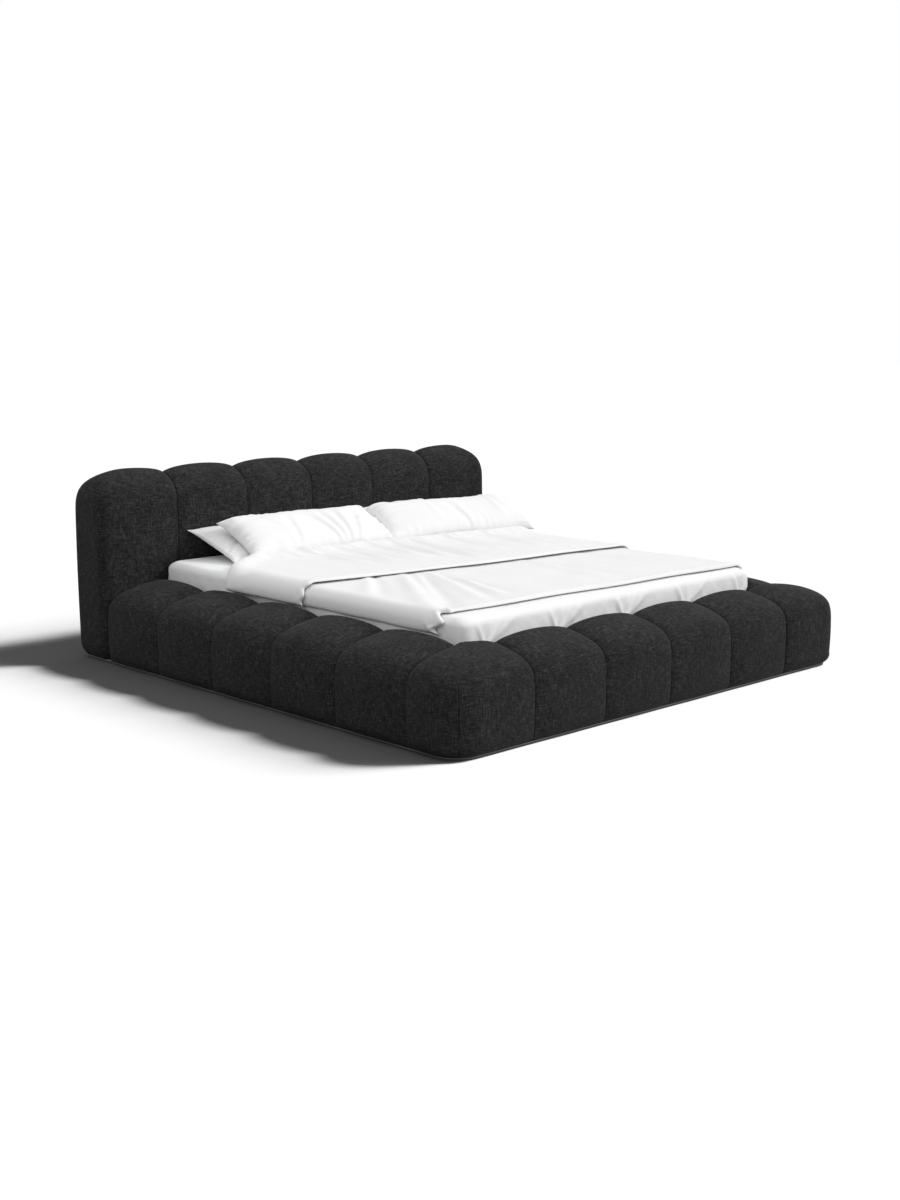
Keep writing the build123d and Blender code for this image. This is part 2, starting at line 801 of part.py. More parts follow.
def link():
    """The cranked link between the base bracket and the platform."""
    arm = hull_plate([(base_pivot, link_half_width), (top_pivot, link_half_width)], link_plane, plate)
    lever = hull_plate([(base_pivot, link_half_width), (spring_top, lever_half_width)], link_plane, plate)
    piece = arm + lever
    hole = stud_radius + running_gap
    for place in (base_pivot, top_pivot):
        piece -= disc(place, hole, link_plane, link_outer)
    eye_inner = spring_plane - eye_half - roller_gap
    eye_outer = spring_plane + eye_half + roller_gap
    piece += disc(spring_top, eye_boss_radius, link_outer, eye_inner)
    piece += disc(spring_top, pin_radius, eye_inner, eye_outer)
    piece += disc(spring_top, eye_boss_radius, eye_outer, eye_outer + stud_head_thickness)
    return piece


def top_bracket():
    """The plate on the platform's side tube, with its pivot stud and guide roller."""
    low_edge = tube_top - top_plate_edge
    rounds = [
        (top_pivot, top_plate_radius),
        (guide_pin, link_half_width),
        ((guide_pin[0], low_edge), top_plate_edge),
        ((top_pivot[0] + top_plate_end, low_edge), top_plate_edge),
    ]
    piece = hull_plate(rounds, platform_half_width, plate)
    piece += disc(top_pivot, boss_radius, top_plate_outer, link_plane - roller_gap)
    piece += disc(top_pivot, stud_radius, top_plate_outer, link_outer + roller_gap)
    head_start = link_outer + roller_gap
    piece += disc(top_pivot, stud_head_radius, head_start, head_start + stud_head_thickness)
    roller_start = bracket_face - mount_screw_head
    piece += disc(guide_pin, pin_radius, top_plate_outer, roller_start)
    piece += disc(guide_pin, roller_radius, roller_start, board_face - roller_gap)
    return piece


def spring_point(start, end, distance):
    """A place on the gas spring's line, measured from its first end."""
    length = sqrt((end[0] - start[0]) ** 2 + (end[1] - start[1]) ** 2)
    share = distance / length
    x, z = start[0] + (end[0] - start[0]) * share, start[1] + (end[1] - start[1]) * share
    return (-spring_plane, reach(x), z)


def spring_bar(start, end, radius, first, last):
    return rod_between(radius, spring_point(start, end, first), spring_point(start, end, last))


def spring_eye(place):
    ring = disc(place, eye_radius, spring_plane - eye_half, spring_plane + eye_half)
    return ring - disc(place, pin_radius + running_gap, spring_plane - eye_half, spring_plane + eye_half)


def gas_cylinder():
    """The gas spring's cylinder, hollow, with a guide for the rod at its mouth."""
    start, end = spring_foot, spring_top
    body = spring_bar(start, end, cylinder_radius, cylinder_start, cylinder_end)
    inside = (cylinder_start + cylinder_wall, cylinder_end - cylinder_wall)
    body -= spring_bar(start, end, cylinder_bore_radius, *inside)
    body -= spring_bar(start, end, rod_radius + running_gap, inside[1], cylinder_end)
    neck_start = pin_radius + running_gap + (eye_radius - pin_radius) / 2
    body += spring_bar(start, end, spring_neck_radius, neck_start, cylinder_start)
    return body + spring_eye(start)


def gas_rod():
    """The gas spring's rod with its piston, reaching back into the cylinder."""
    start, end = spring_top, spring_foot
    neck_start = pin_radius + running_gap + (eye_radius - pin_radius) / 2
    body = spring_bar(start, end, rod_radius, cylinder_start, rod_length)
    body += spring_bar(start, end, piston_radius, rod_length - piston_length, rod_length)
    body += spring_bar(start, end, spring_neck_radius, neck_start, cylinder_start)
    return body + spring_eye(start)


def lift_mechanism():
    """Both sides' brackets, links and gas springs."""
    left = {
        "base_bracket": base_bracket(),
        "lift_link": link(),
        "top_bracket": top_bracket(),
        "gas_cylinder": gas_cylinder(),
        "gas_rod": gas_rod(),
    }
    pieces = {f"left_{name}": piece for name, piece in left.items()}
    pieces.update({f"right_{name}": mirrored(piece) for name, piece in left.items()})
    return pieces


def soft_block(inset):
    """The mattress's rounded block, drawn in on every side but its bottom."""
    half = mattress_width / 2 - inset
    y_range = (reach(mattress_head_gap + mattress_length) + inset, reach(mattress_head_gap) - inset)
    solid = block((-half, half), y_range, (mattress_bottom, mattress_top - inset))
    solid = fillet(solid.edges().filter_by(Axis.Z), mattress_corner_radius - inset)
    top = solid.faces().sort_by(Axis.Z)[-1]
    return fillet(top.edges(), mattress_edge_radius - inset)


def plan_cut(solid, corners):
    """Keeps the part of a cloth whose plan lies inside the given corners."""
    outline = Polyline(*[(x, reach(distance)) for x, distance in corners], close=True)
    return solid & extrude(make_face(outline), head_height)


def cloth_arch(inner_gap, thickness, hem):
    """A cloth laid over the mattress, hanging a little way down both sides."""
    half = mattress_width / 2 + duvet_side_gap + inner_gap
    low = mattress_top + soft_clearance + inner_gap
    radius = mattress_edge_radius + inner_gap
    outer, top = half + thickness, low + thickness
    outer_radius = radius + thickness
    bend = 1 - 1 / sqrt(2)
    y_end = reach(inner_length)
    plane = Plane(origin=(0, y_end, 0), x_dir=(1, 0, 0), z_dir=(0, -1, 0))
    crown = duvet_puff

    def corner(side, x, z, r):
        return ((side * x, z - r), (side * (x - bend * r), z - bend * r), (side * (x - r), z))

    left_out, right_out = corner(-1, outer, top, outer_radius), corner(1, outer, top, outer_radius)
    left_in, right_in = corner(-1, half, low, radius), corner(1, half, low, radius)
    edges = [
        Line((-outer, hem), left_out[0]),
        ThreePointArc(*left_out),
        ThreePointArc(left_out[2], (0, top + crown), right_out[2]),
        ThreePointArc(*reversed(right_out)),
        Line(right_out[0], (outer, hem)),
        Line((outer, hem), (half, hem)),
        Line((half, hem), right_in[0]),
        ThreePointArc(*right_in),
        Line(right_in[2], left_in[2]),
        ThreePointArc(*reversed(left_in)),
        Line(left_in[0], (-half, hem)),
        Line((-half, hem), (-outer, hem)),
    ]
    return extrude(plane * make_face(edges), -inner_length)


def duvet():
    """The duvet with its head end folded back as a thicker band."""
    wide = outline_width / 2
    pillow_side = left_pillow_centre - pillow_width / 2 - pillow_end_shift
    sheet = cloth_arch(0, duvet_thickness, duvet_hem_height)
    head = [(-wide, duvet_side_reach), (pillow_side, duvet_left_reach), (pillow_side, duvet_head_reach)]
    head += [(duvet_head_bend, duvet_head_reach), (wide, duvet_head_right)]
    sheet = plan_cut(sheet, head + [(wide, duvet_foot_right), (-wide, duvet_foot_left)])
    band = cloth_arch(0, duvet_thickness + band_thickness, duvet_hem_height)
    band = plan_cut(band, head + [(wide, band_foot_right), (-wide, band_foot_left)])
    return sheet + band


# Shares of a pillow's half width where its section is drawn, and how it is drawn in
pillow_shares = (-1, -0.93, -0.7, -0.35, 0, 0.35, 0.7, 0.93, 1)
pillow_waist_share = 0.93


def pillow(under, over):
    """A pillow, crowned in the middle, drawn in between its four corners."""
    sections = []
    for share in pillow_shares:
        full = sqrt(1 - abs(share) ** 3)
        half = pillow_height / 2 * (pillow_waist_share + (1 - pillow_waist_share) * abs(share) ** 3)
        edge = pillow_edge / 2
        low, high = -edge - under * full, edge + over * full
        if full == 0:
            low, high = low - edge / 2, high + edge / 2
        corners = [(-half, -edge), (half, -edge), (half, edge), (-half, edge)]
        arcs = [(corners[0], (0, low), corners[1]), (corners[2], (0, high), corners[3])]
        edges = [ThreePointArc(*arc) for arc in arcs]
        edges += [Line(corners[1], corners[2]), Line(corners[3], corners[0])]
        plane = Plane(origin=(share * pillow_width / 2, 0, 0), x_dir=(0, 1, 0), z_dir=(1, 0, 0))
        sections.append(plane * make_face(edges))
    return loft(sections, ruled=True)


def arc_radius(rise):
    """Radius of a pillow's crown across its middle, from its rise over the seam."""
    half = pillow_height / 2 * pillow_waist_share
    return (half * half + rise * rise) / (2 * rise)


def pillow_pair():
    """A back pillow leaning on the headboard side and a front one resting on it."""
    tilt = radians(pillow_tilt)
    reach_of_arcs = arc_radius(back_pillow_over) + arc_radius(front_pillow_under)
    apart = sqrt((reach_of_arcs + soft_clearance) ** 2 - front_pillow_shift**2) - reach_of_arcs
    spacing = back_pillow_over + front_pillow_under + pillow_edge + apart
    back_z = mattress_top + soft_clearance + pillow_height / 2 * sin(tilt) + pillow_edge / 2 * cos(tilt)
    forward = front_pillow_shift * cos(tilt) + spacing * sin(tilt)
    front_z = back_z - front_pillow_shift * sin(tilt) + spacing * cos(tilt)
    turn = Rot(pillow_tilt, 0, 0)
    back = Pos(-pillow_end_shift, 0, back_z) * turn * pillow(back_pillow_under, back_pillow_over)
    front = Pos(0, -forward, front_z) * turn * pillow(front_pillow_under, front_pillow_over)
    return back, front


def pillows():
    """The pair on the left, and the one on the right that lies turned and further out."""
    back, front = pillow_pair()
    left = Pos(left_pillow_centre, reach(back_pillow_reach), 0)
    right = Pos(right_pillow_centre, reach(back_pillow_reach + right_pillow_shift), 0)
    right = right * Rot(0, 0, -right_pillow_turn)
    return {
        "back_left_pillow": left * back,
        "front_left_pillow": left * front,
        "back_right_pillow": right * back,
        "front_right_pillow": right * front,
    }


def bedding():
    """Mattress, fitted sheet, duvet and pillows."""
    mattress = soft_block(sheet_thickness)
    inner = soft_block(sheet_thickness - sheet_play)
    pieces = {"mattress": mattress, "fitted_sheet": soft_block(0) - inner, "duvet": duvet()}
    pieces.update(pillows())
    return pieces


def build():
    """Every node of the bed by name."""
    parts = {}
    for make in (foot_lobes, rail_lobes, head_lobes, timber, storage_floor, lift_frame):
        parts.update(make())
    for make in (slatted_base, platform_fittings, lift_mechanism, bedding):
        parts.update(make())
    return parts


os.makedirs("parts", exist_ok=True)
for name, piece in build().items():
    export_step(piece, f"parts/{name}.step")
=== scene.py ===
# %% [markdown]
# # An upholstered storage bed
#
# The bed is a low surround of channel-padded charcoal cloth with a headboard. It
# stands round a mattress in white linen, on a slatted platform that lifts up. The
# timber, the steel and the lift come ready made from the CAD model. This notebook
# gives the bed its looks: every soft part gets a sewn, crowned or creased piece in
# place of its plain solid, and every other part gets a finish.
#
# The imported CAD model is loaded first. It could be modelled again here, but then the
# two models would drift apart. So it stays where it is and lends its places and
# sizes, and its box is kept and printed beside the dressed bed's at the end.

# %% Load the imported bed
import json
from math import cos, pi, radians, sin, sqrt

import bpy
import numpy as np
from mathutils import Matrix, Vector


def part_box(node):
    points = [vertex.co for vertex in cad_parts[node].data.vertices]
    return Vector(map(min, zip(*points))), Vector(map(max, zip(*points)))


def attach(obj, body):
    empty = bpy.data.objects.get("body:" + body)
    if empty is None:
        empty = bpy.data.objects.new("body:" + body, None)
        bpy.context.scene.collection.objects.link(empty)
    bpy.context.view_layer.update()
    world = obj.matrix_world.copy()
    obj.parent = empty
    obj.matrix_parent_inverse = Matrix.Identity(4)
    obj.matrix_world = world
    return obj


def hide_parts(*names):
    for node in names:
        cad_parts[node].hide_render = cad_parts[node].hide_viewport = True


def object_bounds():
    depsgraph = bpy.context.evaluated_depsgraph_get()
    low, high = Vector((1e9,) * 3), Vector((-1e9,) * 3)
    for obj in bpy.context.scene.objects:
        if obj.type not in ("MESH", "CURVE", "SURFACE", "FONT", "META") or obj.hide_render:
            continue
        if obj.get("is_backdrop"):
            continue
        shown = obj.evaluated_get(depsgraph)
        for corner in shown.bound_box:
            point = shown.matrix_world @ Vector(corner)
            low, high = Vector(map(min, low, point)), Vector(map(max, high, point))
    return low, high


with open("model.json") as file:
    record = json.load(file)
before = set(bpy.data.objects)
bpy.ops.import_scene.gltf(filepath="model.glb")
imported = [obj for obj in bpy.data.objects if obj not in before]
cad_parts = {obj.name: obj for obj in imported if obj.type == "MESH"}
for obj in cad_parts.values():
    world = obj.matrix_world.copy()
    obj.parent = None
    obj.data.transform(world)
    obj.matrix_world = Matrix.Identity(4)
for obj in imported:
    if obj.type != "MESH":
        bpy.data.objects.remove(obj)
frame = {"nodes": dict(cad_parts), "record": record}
cad_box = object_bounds()
nodes = frame["nodes"]
print("nodes", len(nodes), "box", [[round(v, 3) for v in corner] for corner in cad_box])

# %% [markdown]
# The photograph looks down a little on the left foot corner of the bed, from about
# seven metres away. A camera could be placed by eye, but then nothing else could be
# measured by it. So its place, tilt and focal length were solved from lines that the
# photograph shows: the sewn valleys of the pads, the two floor lines and the edges of
# the mattress.

# %% Camera of the photograph
CAMERA_PLACE = (-4.806, -4.999, 1.525)
LOOKS_DOWN, TURNS_RIGHT = radians(10.2), radians(43.7)
SENSOR_HEIGHT, FOCAL_LENGTH = 36, 46.07  # both in millimetres

camera_data = bpy.data.cameras.new("photo_camera")
camera_data.sensor_fit = "VERTICAL"
camera_data.sensor_height = SENSOR_HEIGHT
camera_data.lens = FOCAL_LENGTH
camera_data.clip_end = 60
camera = bpy.data.objects.new("photo_camera", camera_data)
bpy.context.scene.collection.objects.link(camera)
bpy.context.scene.camera = camera
camera.location = CAMERA_PLACE
camera.rotation_euler = (pi / 2 - LOOKS_DOWN, 0, -TURNS_RIGHT)
print("camera at", [round(v, 3) for v in camera.location], "lens", round(camera_data.lens, 2))

# %% [markdown]
# An upholsterer works from the timber outwards, and so does this file. The lengths of
# the surround, in metres, could all be typed in again. They are read from the boxes
# of the CAD nodes instead wherever a box gives them, so the new pads always fit the
# timber. A "base line" is the line on the floor that the pads bulge out from.

# %% Measures of the surround
rail_pad, foot_pad, head_pad = (
    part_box("left_rail_lobe_1"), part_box("footboard_lobe_2"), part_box("headboard_lobe_2")
)
well_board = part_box("left_rail_inner_board")
LOBE = 0.4
LOW_BULGE, HEAD_BULGE = 0.028, 0.022
LOW_TOP, HEAD_TOP = 0.38, 0.87
BASE_TOP = foot_pad[0].z
LEFT_BASE = -3 * LOBE
WELL_SIDE, WELL_FOOT, WELL_HEAD = well_board[1].x, well_board[0].y, head_pad[0].y
RAIL_THICK = WELL_SIDE - LEFT_BASE
RAIL_PITCH = rail_pad[1].y - rail_pad[0].y
FOOT_BASE = foot_pad[0].y + LOW_BULGE
FOOT_THICK = WELL_FOOT - FOOT_BASE
HEAD_BASE = head_pad[0].y + HEAD_BULGE
HEAD_THICK = head_pad[1].y - HEAD_BULGE - HEAD_BASE
print("thickness of rail, foot, head", [round(v, 4) for v in (RAIL_THICK, FOOT_THICK, HEAD_THICK)])
print("pitch of the pads", LOBE, round(RAIL_PITCH, 4))

# %% [markdown]
# Blender's meshes are lists of corners and lists of faces. They could be drawn by
# hand or pushed about with modifiers. Here every surface is a grid of points worked
# out as one numpy array and handed over at once, which is quick, gives the same
# result each time, and shows in a formula what the shape is. Cloth also needs to
# know how far along itself each point lies, so that the weave keeps its scale. That
# is what the UV map called "cloth" holds, in metres.


# %% From a grid of points to a mesh
def grid_faces(rows, columns, close_rows=False, close_columns=False):
    """Corner indices of the quads of a grid of points, row by row."""
    r = np.arange(rows if close_rows else rows - 1)
    c = np.arange(columns if close_columns else columns - 1)
    i, j = np.meshgrid(r, c, indexing="ij")
    i2, j2 = (i + 1) % rows, (j + 1) % columns
    quads = [i * columns + j, i * columns + j2, i2 * columns + j2, i2 * columns + j]
    return np.stack(quads, -1).reshape(-1, 4)


def mesh_piece(name, points, faces):
    """A smooth mesh object from points (n, 3) and a list of faces."""
    mesh = bpy.data.meshes.new(name)
    mesh.from_pydata(np.asarray(points).reshape(-1, 3).tolist(), [], [tuple(f) for f in faces])
    mesh.validate()
    mesh.polygons.foreach_set("use_smooth", np.ones(len(mesh.polygons), bool))
    piece = bpy.data.objects.new(name, mesh)
    bpy.context.scene.collection.objects.link(piece)
    return piece


def cloth_coordinates(piece, u, v):
    """Writes lengths along the cloth, in metres, as the piece's UV map."""
    layer = piece.data.uv_layers.new(name="cloth")
    index = np.zeros(len(piece.data.loops), np.int32)
    piece.data.loops.foreach_get("vertex_index", index)
    flat = np.stack([np.ravel(u)[index], np.ravel(v)[index]], -1)
    layer.data.foreach_set("uv", flat.astype(np.float32).ravel())


print("quads of a 3 by 3 grid:", len(grid_faces(3, 3)))

# %% [markdown]
# A finish in Blender is a small graph of nodes that ends in a shader. A photograph of
# cloth could be laid over each piece, but it would stretch and repeat. So every
# finish here is worked out from noise and waves on the object's own coordinates or
# on the lengths along its cloth. It then stays on the piece from whatever side it is
# seen. These helpers make a material, add a node with its settings and links, and
# name the few nodes that all finishes use.


# %% A material and its nodes
def material(name, colour, roughness, **sockets):
    """A new material, its shader and its output, with plain values on the shader."""
    made = bpy.data.materials.new(name)
    made.use_nodes = True
    shader = made.node_tree.nodes["Principled BSDF"]
    shader.inputs["Base Color"].default_value = (*colour, 1)
    shader.inputs["Roughness"].default_value = roughness
    for socket, value in sockets.items():
        shader.inputs[socket.replace("_", " ")].default_value = value
    return made, shader


def node(made, kind, inputs=None, **settings):
    """Adds a node with its settings, its values and its links."""
    added = made.node_tree.nodes.new(kind)
    for key, value in settings.items():
        setattr(added, key, value)
    for key, value in (inputs or {}).items():
        if isinstance(value, bpy.types.NodeSocket):
            made.node_tree.links.new(value, added.inputs[key])
        else:
            added.inputs[key].default_value = value
    return added


def drives(made, output, shader, socket):
    """Links a node's output to a socket of the shader."""
    made.node_tree.links.new(output, shader.inputs[socket])


def object_place(made):
    """Object coordinates: metres in the bed's own frame."""
    return node(made, "ShaderNodeTexCoord").outputs["Object"]


print("shader sockets are set by name, such as Base Color and Roughness")


# %% Sums, noise, ramps and bump
def maths(made, operation, a, b=0.5):
    """One sum on two numbers or outputs."""
    return node(made, "ShaderNodeMath", {0: a, 1: b}, operation=operation).outputs[0]


def weighted(made, parts):
    """A sum of outputs, each times its weight."""
    shares = [maths(made, "MULTIPLY", output, weight) for output, weight in parts]
    total = shares[0]
    for share in shares[1:]:
        total = maths(made, "ADD", total, share)
    return total


def ramp(made, factor, stops):
    """A colour ramp from (place, grey or colour) stops."""
    added = node(made, "ShaderNodeValToRGB", {"Fac": factor})
    elements = added.color_ramp.elements
    while len(elements) < len(stops):
        elements.new(0.5)
    for element, (place, colour) in zip(elements, stops):
        element.position = place
        element.color = (*colour, 1) if isinstance(colour, tuple) else (colour, colour, colour, 1)
    return added.outputs["Color"]


def noise(made, vector, scale, detail=2, roughness=0.5):
    """Cloudy noise of a given fineness at a place."""
    values = {"Vector": vector, "Scale": scale, "Detail": detail, "Roughness": roughness}
    return node(made, "ShaderNodeTexNoise", values).outputs["Fac"]


def stretched(made, vector, scale):
    """The same place with each axis scaled, which draws noise out into threads or grain."""
    return node(made, "ShaderNodeMapping", {"Vector": vector, "Scale": scale}).outputs["Vector"]


def bump(made, shader, height, strength, distance):
    """Turns a height into a slight tilt of the surface, as if it had that relief."""
    values = {"Height": height, "Strength": strength, "Distance": distance}
    drives(made, node(made, "ShaderNodeBump", values).outputs["Normal"], shader, "Normal")


print("noise, ramps and bump ready")

# %% [markdown]
# The cover is a heathered charcoal cloth: dark yarn with paler flecks, woven so that
# short upright and level threads show. Plain noise would look like felt. Here noise
# is drawn out in two directions, once for the threads that run one way and once for
# those that run the other. On an upright face one set stands and the other lies
# level, and on a top they run along and across, so the two pairs are blended by how
# far the surface faces up. A fine plain weave goes into the bump alone, since it is
# too small to see as colour, and a little sheen catches the light on the brows.

# %% The charcoal cover
THREAD_WIDE, THREAD_LONG = 310, 36
THREAD_PITCH = 0.0022
YARN_DARK, YARN_MIDDLE, YARN_LIGHT = (0.0045, 0.0045, 0.0047), (0.019, 0.019, 0.0193), (0.062, 0.062, 0.0625)


def weave_height(made, cloth, thread):
    """Over and under of a plain weave: |sin| of one direction times |sin| of the other."""
    split = node(made, "ShaderNodeSeparateXYZ", {"Vector": cloth})
    waves = []
    for axis in ("X", "Y"):
        phase = maths(made, "MULTIPLY", split.outputs[axis], pi / thread)
        waves.append(maths(made, "ABSOLUTE", maths(made, "SINE", phase)))
    return maths(made, "MULTIPLY", waves[0], waves[1])


def faces_up(made):
    """0 on upright faces and 1 on level ones, from the height of the normal."""
    normal = node(made, "ShaderNodeTexCoord").outputs["Normal"]
    height = maths(made, "ABSOLUTE", node(made, "ShaderNodeSeparateXYZ", {"Vector": normal}).outputs["Z"])
    return node(made, "ShaderNodeMapRange", {"Value": height, "From Min": 0.55, "From Max": 0.8}).outputs[0]


def threads(made, place, level, on_wall, on_level):
    """Noise drawn out one way on walls and another way on tops."""
    wall_yarn = noise(made, stretched(made, place, on_wall), 1, 2, 0.6)
    level_yarn = noise(made, stretched(made, place, on_level), 1, 2, 0.6)
    return node(made, "ShaderNodeMix", {0: level, 2: wall_yarn, 3: level_yarn}).outputs[0]


def upholstery_material():
    """Two sets of short threads with flecks and faint cloudy patches."""
    made, shader = material("charcoal_weave", (0.03, 0.03, 0.03), 0.95, Sheen_Weight=0.06, Sheen_Roughness=0.2)
    shader.inputs["Specular IOR Level"].default_value = 0.15
    shader.inputs["Sheen Tint"].default_value = (0.6, 0.6, 0.6, 1)
    place, level = object_place(made), faces_up(made)
    wide, long = THREAD_WIDE, THREAD_LONG
    warp = threads(made, place, level, (wide, wide, long), (wide, long, long))
    weft = threads(made, place, level, (long, long, wide), (long, wide, long))
    yarn = weighted(made, [(warp, 0.5), (weft, 0.5)])
    fleck, patch = noise(made, place, 480, 2, 0.6), noise(made, place, 9, 3, 0.55)
    mixed = weighted(made, [(yarn, 0.8), (fleck, 0.12), (patch, 0.08)])
    tones = [(0.37, YARN_DARK), (0.5, YARN_MIDDLE), (0.63, YARN_LIGHT)]
    drives(made, ramp(made, mixed, tones), shader, "Base Color")
    cloth = node(made, "ShaderNodeUVMap", uv_map="cloth").outputs["UV"]
    height = weighted(made, [(weave_height(made, cloth, THREAD_PITCH), 0.5), (yarn, 1.6)])
    bump(made, shader, height, 0.6, 0.0009)
    return made


charcoal = upholstery_material()
print("made", charcoal.name, "with", len(charcoal.node_tree.nodes), "nodes")

# %% [markdown]
# The pads of the surround are foam under a tight cover that is sewn down in upright
# valleys. Seen from the end of a row, a pad is rolled under at the floor, stands
# nearly upright, turns over a soft brow and rises to a crown close to the mattress.
# A cloth simulation could blow such a pad up, but its mesh is too coarse for the
# sewn valleys and would blur them. So the section of a pad is a formula with a
# fullness: 1 in the middle of a pad, where it bulges most, and 0 in its valleys.

# %% Measures of a low pad's section
LOW_VALLEY = 0.342
ROLL_LOW, LOW_BELLY, BROW_FROM, BROW_START = 0.06, 0.154, 0.12, 0.27
LOW_STAND = (0.004, 0.024)
BROW_POWER, BROW_EASE = 7.4, 0.05
WELL_EDGE, CROWN_IN = 0.2865, 0.062
TUCK, BELLY_HOLLOW = 0.003, 0.002
CORE_OUT, CORE_TOP, BOARD_THICK, BOARD_TOP = 0.0705, 0.2625, 0.0185, 0.2845
print("a low pad is", LOW_TOP, "high, and", LOW_VALLEY, "in its valleys")


# %% Section of a low pad
def rolled_foot(z, wall, wall_low):
    """How far the foot is rolled in below wall_low: R - sqrt(R^2 - drop^2)."""
    under, rise = wall + TUCK, wall_low - BASE_TOP
    radius = (under**2 + rise**2) / (2 * under)
    return radius - np.sqrt(radius**2 - np.clip(wall_low - z, 0, rise) ** 2)


def soft_share(share, ease):
    """Share of the way in from the crown, with a level start: sqrt((s + e)^2 - e^2)."""
    return np.sqrt((np.clip(share, 0, 1) + ease) ** 2 - ease**2) / sqrt(1 + 2 * ease)


def low_reach(z, full, thick):
    """How far out a low pad stands at height z: out = wall - A (1 - x), s = 1 - u^7.4."""
    top = LOW_VALLEY + (LOW_TOP - LOW_VALLEY) * full
    wall, crown = LOW_STAND[0] + LOW_STAND[1] * full, thick - CROWN_IN
    up = np.clip((z - BROW_FROM) / (top - BROW_FROM), 0, 1)
    in_share = 1 - soft_share(1 - up**BROW_POWER, BROW_EASE)
    belly = BELLY_HOLLOW * np.clip((z - LOW_BELLY) / 0.1, -1, 1) ** 2
    return wall - belly - (crown + wall) * in_share - rolled_foot(z, wall, ROLL_LOW)


def brow_heights(top, start, measured_from, power, shares):
    """Heights up a brow that lie close together where it turns over."""
    first = 1 - ((start - measured_from) / (top - measured_from)) ** power
    share = first * (1 - shares[None, :] ** 1.5)
    return measured_from + (top - measured_from) * (1 - share) ** (1 / power)


def low_outline(full, thick):
    """The closed outline (out, up) of a low pad for an array of fullness values."""
    full = np.asarray(full, float)[:, None]
    top = LOW_VALLEY + (LOW_TOP - LOW_VALLEY) * full
    foot_z, wall_z = np.linspace(BASE_TOP, ROLL_LOW, 7)[:-1], np.linspace(ROLL_LOW, BROW_START, 9)[:-1]
    lower_z = np.concatenate([foot_z, wall_z])
    brow_z = brow_heights(top, BROW_START, BROW_FROM, BROW_POWER, np.linspace(0, 1, 30)[:-1])
    outer_z = np.concatenate([np.broadcast_to(lower_z, (len(full), len(lower_z))), brow_z], 1)
    outer = low_reach(outer_z, full, thick)
    angle = np.linspace(pi / 2, 0, 20)[None, :]
    back = CROWN_IN - thick - CROWN_IN * np.cos(angle) + 0 * full
    back_z = WELL_EDGE + (top - WELL_EDGE) * np.sin(angle)
    board = BOARD_THICK - thick
    inside = np.array([(board, BOARD_TOP), (board, CORE_TOP), (-CORE_OUT, CORE_TOP), (-CORE_OUT, BASE_TOP)])
    inside = np.broadcast_to(inside[None], (len(full), 4, 2))
    out = np.concatenate([outer, back, inside[..., 0]], 1)
    up = np.concatenate([outer_z, back_z, inside[..., 1]], 1)
    return out, up, len(inside[0])


tallest = low_outline([1.0], FOOT_THICK)
print("low section:", tallest[0].shape[1], "points, top", round(float(tallest[1].max()), 4))

# %% [markdown]
# The headboard's pads are the same cloth and foam, taller and fuller, and they wrap
# over the timber from its front to its back. They could be made as two pads, but the
# photograph shows the cover running over the top in one piece. So the section is one
# outline: up the front, over the crown, and the same curve down the back.

# %% Section of a headboard pad
HEAD_VALLEY = 0.834
ROLL_HEAD, HEAD_BROW_FROM, HEAD_BROW_START = 0.08, 0.6, 0.7
HEAD_STAND = (0.001, 0.021)
HEAD_POWER, HEAD_EASE = 6.0, 0.1
HEAD_BELLY, HEAD_BELLY_SPAN = 0.4, 0.32


def head_reach(z, full, thick):
    """How far out the headboard's pad stands at height z, on its front or back."""
    top = HEAD_VALLEY + (HEAD_TOP - HEAD_VALLEY) * full
    wall = HEAD_STAND[0] + HEAD_STAND[1] * full
    up = np.clip((z - HEAD_BROW_FROM) / (top - HEAD_BROW_FROM), 0, 1)
    in_share = 1 - soft_share(1 - up**HEAD_POWER, HEAD_EASE)
    belly = BELLY_HOLLOW * np.clip((z - HEAD_BELLY) / HEAD_BELLY_SPAN, -1, 1) ** 2
    return wall - belly - (thick / 2 + wall) * in_share - rolled_foot(z, wall, ROLL_HEAD)


def head_outline(full, thick):
    """The closed outline (out, up) of a headboard pad, front, crown and back."""
    full = np.asarray(full, float)[:, None]
    top = HEAD_VALLEY + (HEAD_TOP - HEAD_VALLEY) * full
    foot_z = np.linspace(BASE_TOP, ROLL_HEAD, 7)[:-1]
    lower_z = np.concatenate([foot_z, np.linspace(ROLL_HEAD, HEAD_BROW_START, 16)[:-1]])
    brow_z = brow_heights(top, HEAD_BROW_START, HEAD_BROW_FROM, HEAD_POWER, np.linspace(0, 1, 30))
    front_z = np.concatenate([np.broadcast_to(lower_z, (len(full), len(lower_z))), brow_z], 1)
    front = head_reach(front_z, full, thick)
    out = np.concatenate([front, -thick - front[:, -2::-1]], 1)
    up = np.concatenate([front_z, front_z[:, -2::-1]], 1)
    return out, up, 0


tallest = head_outline([1.0], HEAD_THICK)
print("headboard section:", tallest[0].shape[1], "points, top", round(float(tallest[1].max()), 4))

# %% [markdown]
# A row pad is its section carried along the row. An upholsterer's channel is fullest
# in its middle and dives steeply into the seam at both ends. Fullness sqrt(1 - s^2)
# has just that form, a half circle. It is stepped by the angle of that circle, so
# the grid is finest where the cloth dives. The ends are closed with flat faces, which
# lie hidden in the valleys, and the hidden inner faces along the timber are flat too.


# %% Carry a section along a row
PAD_SAMPLES = 44


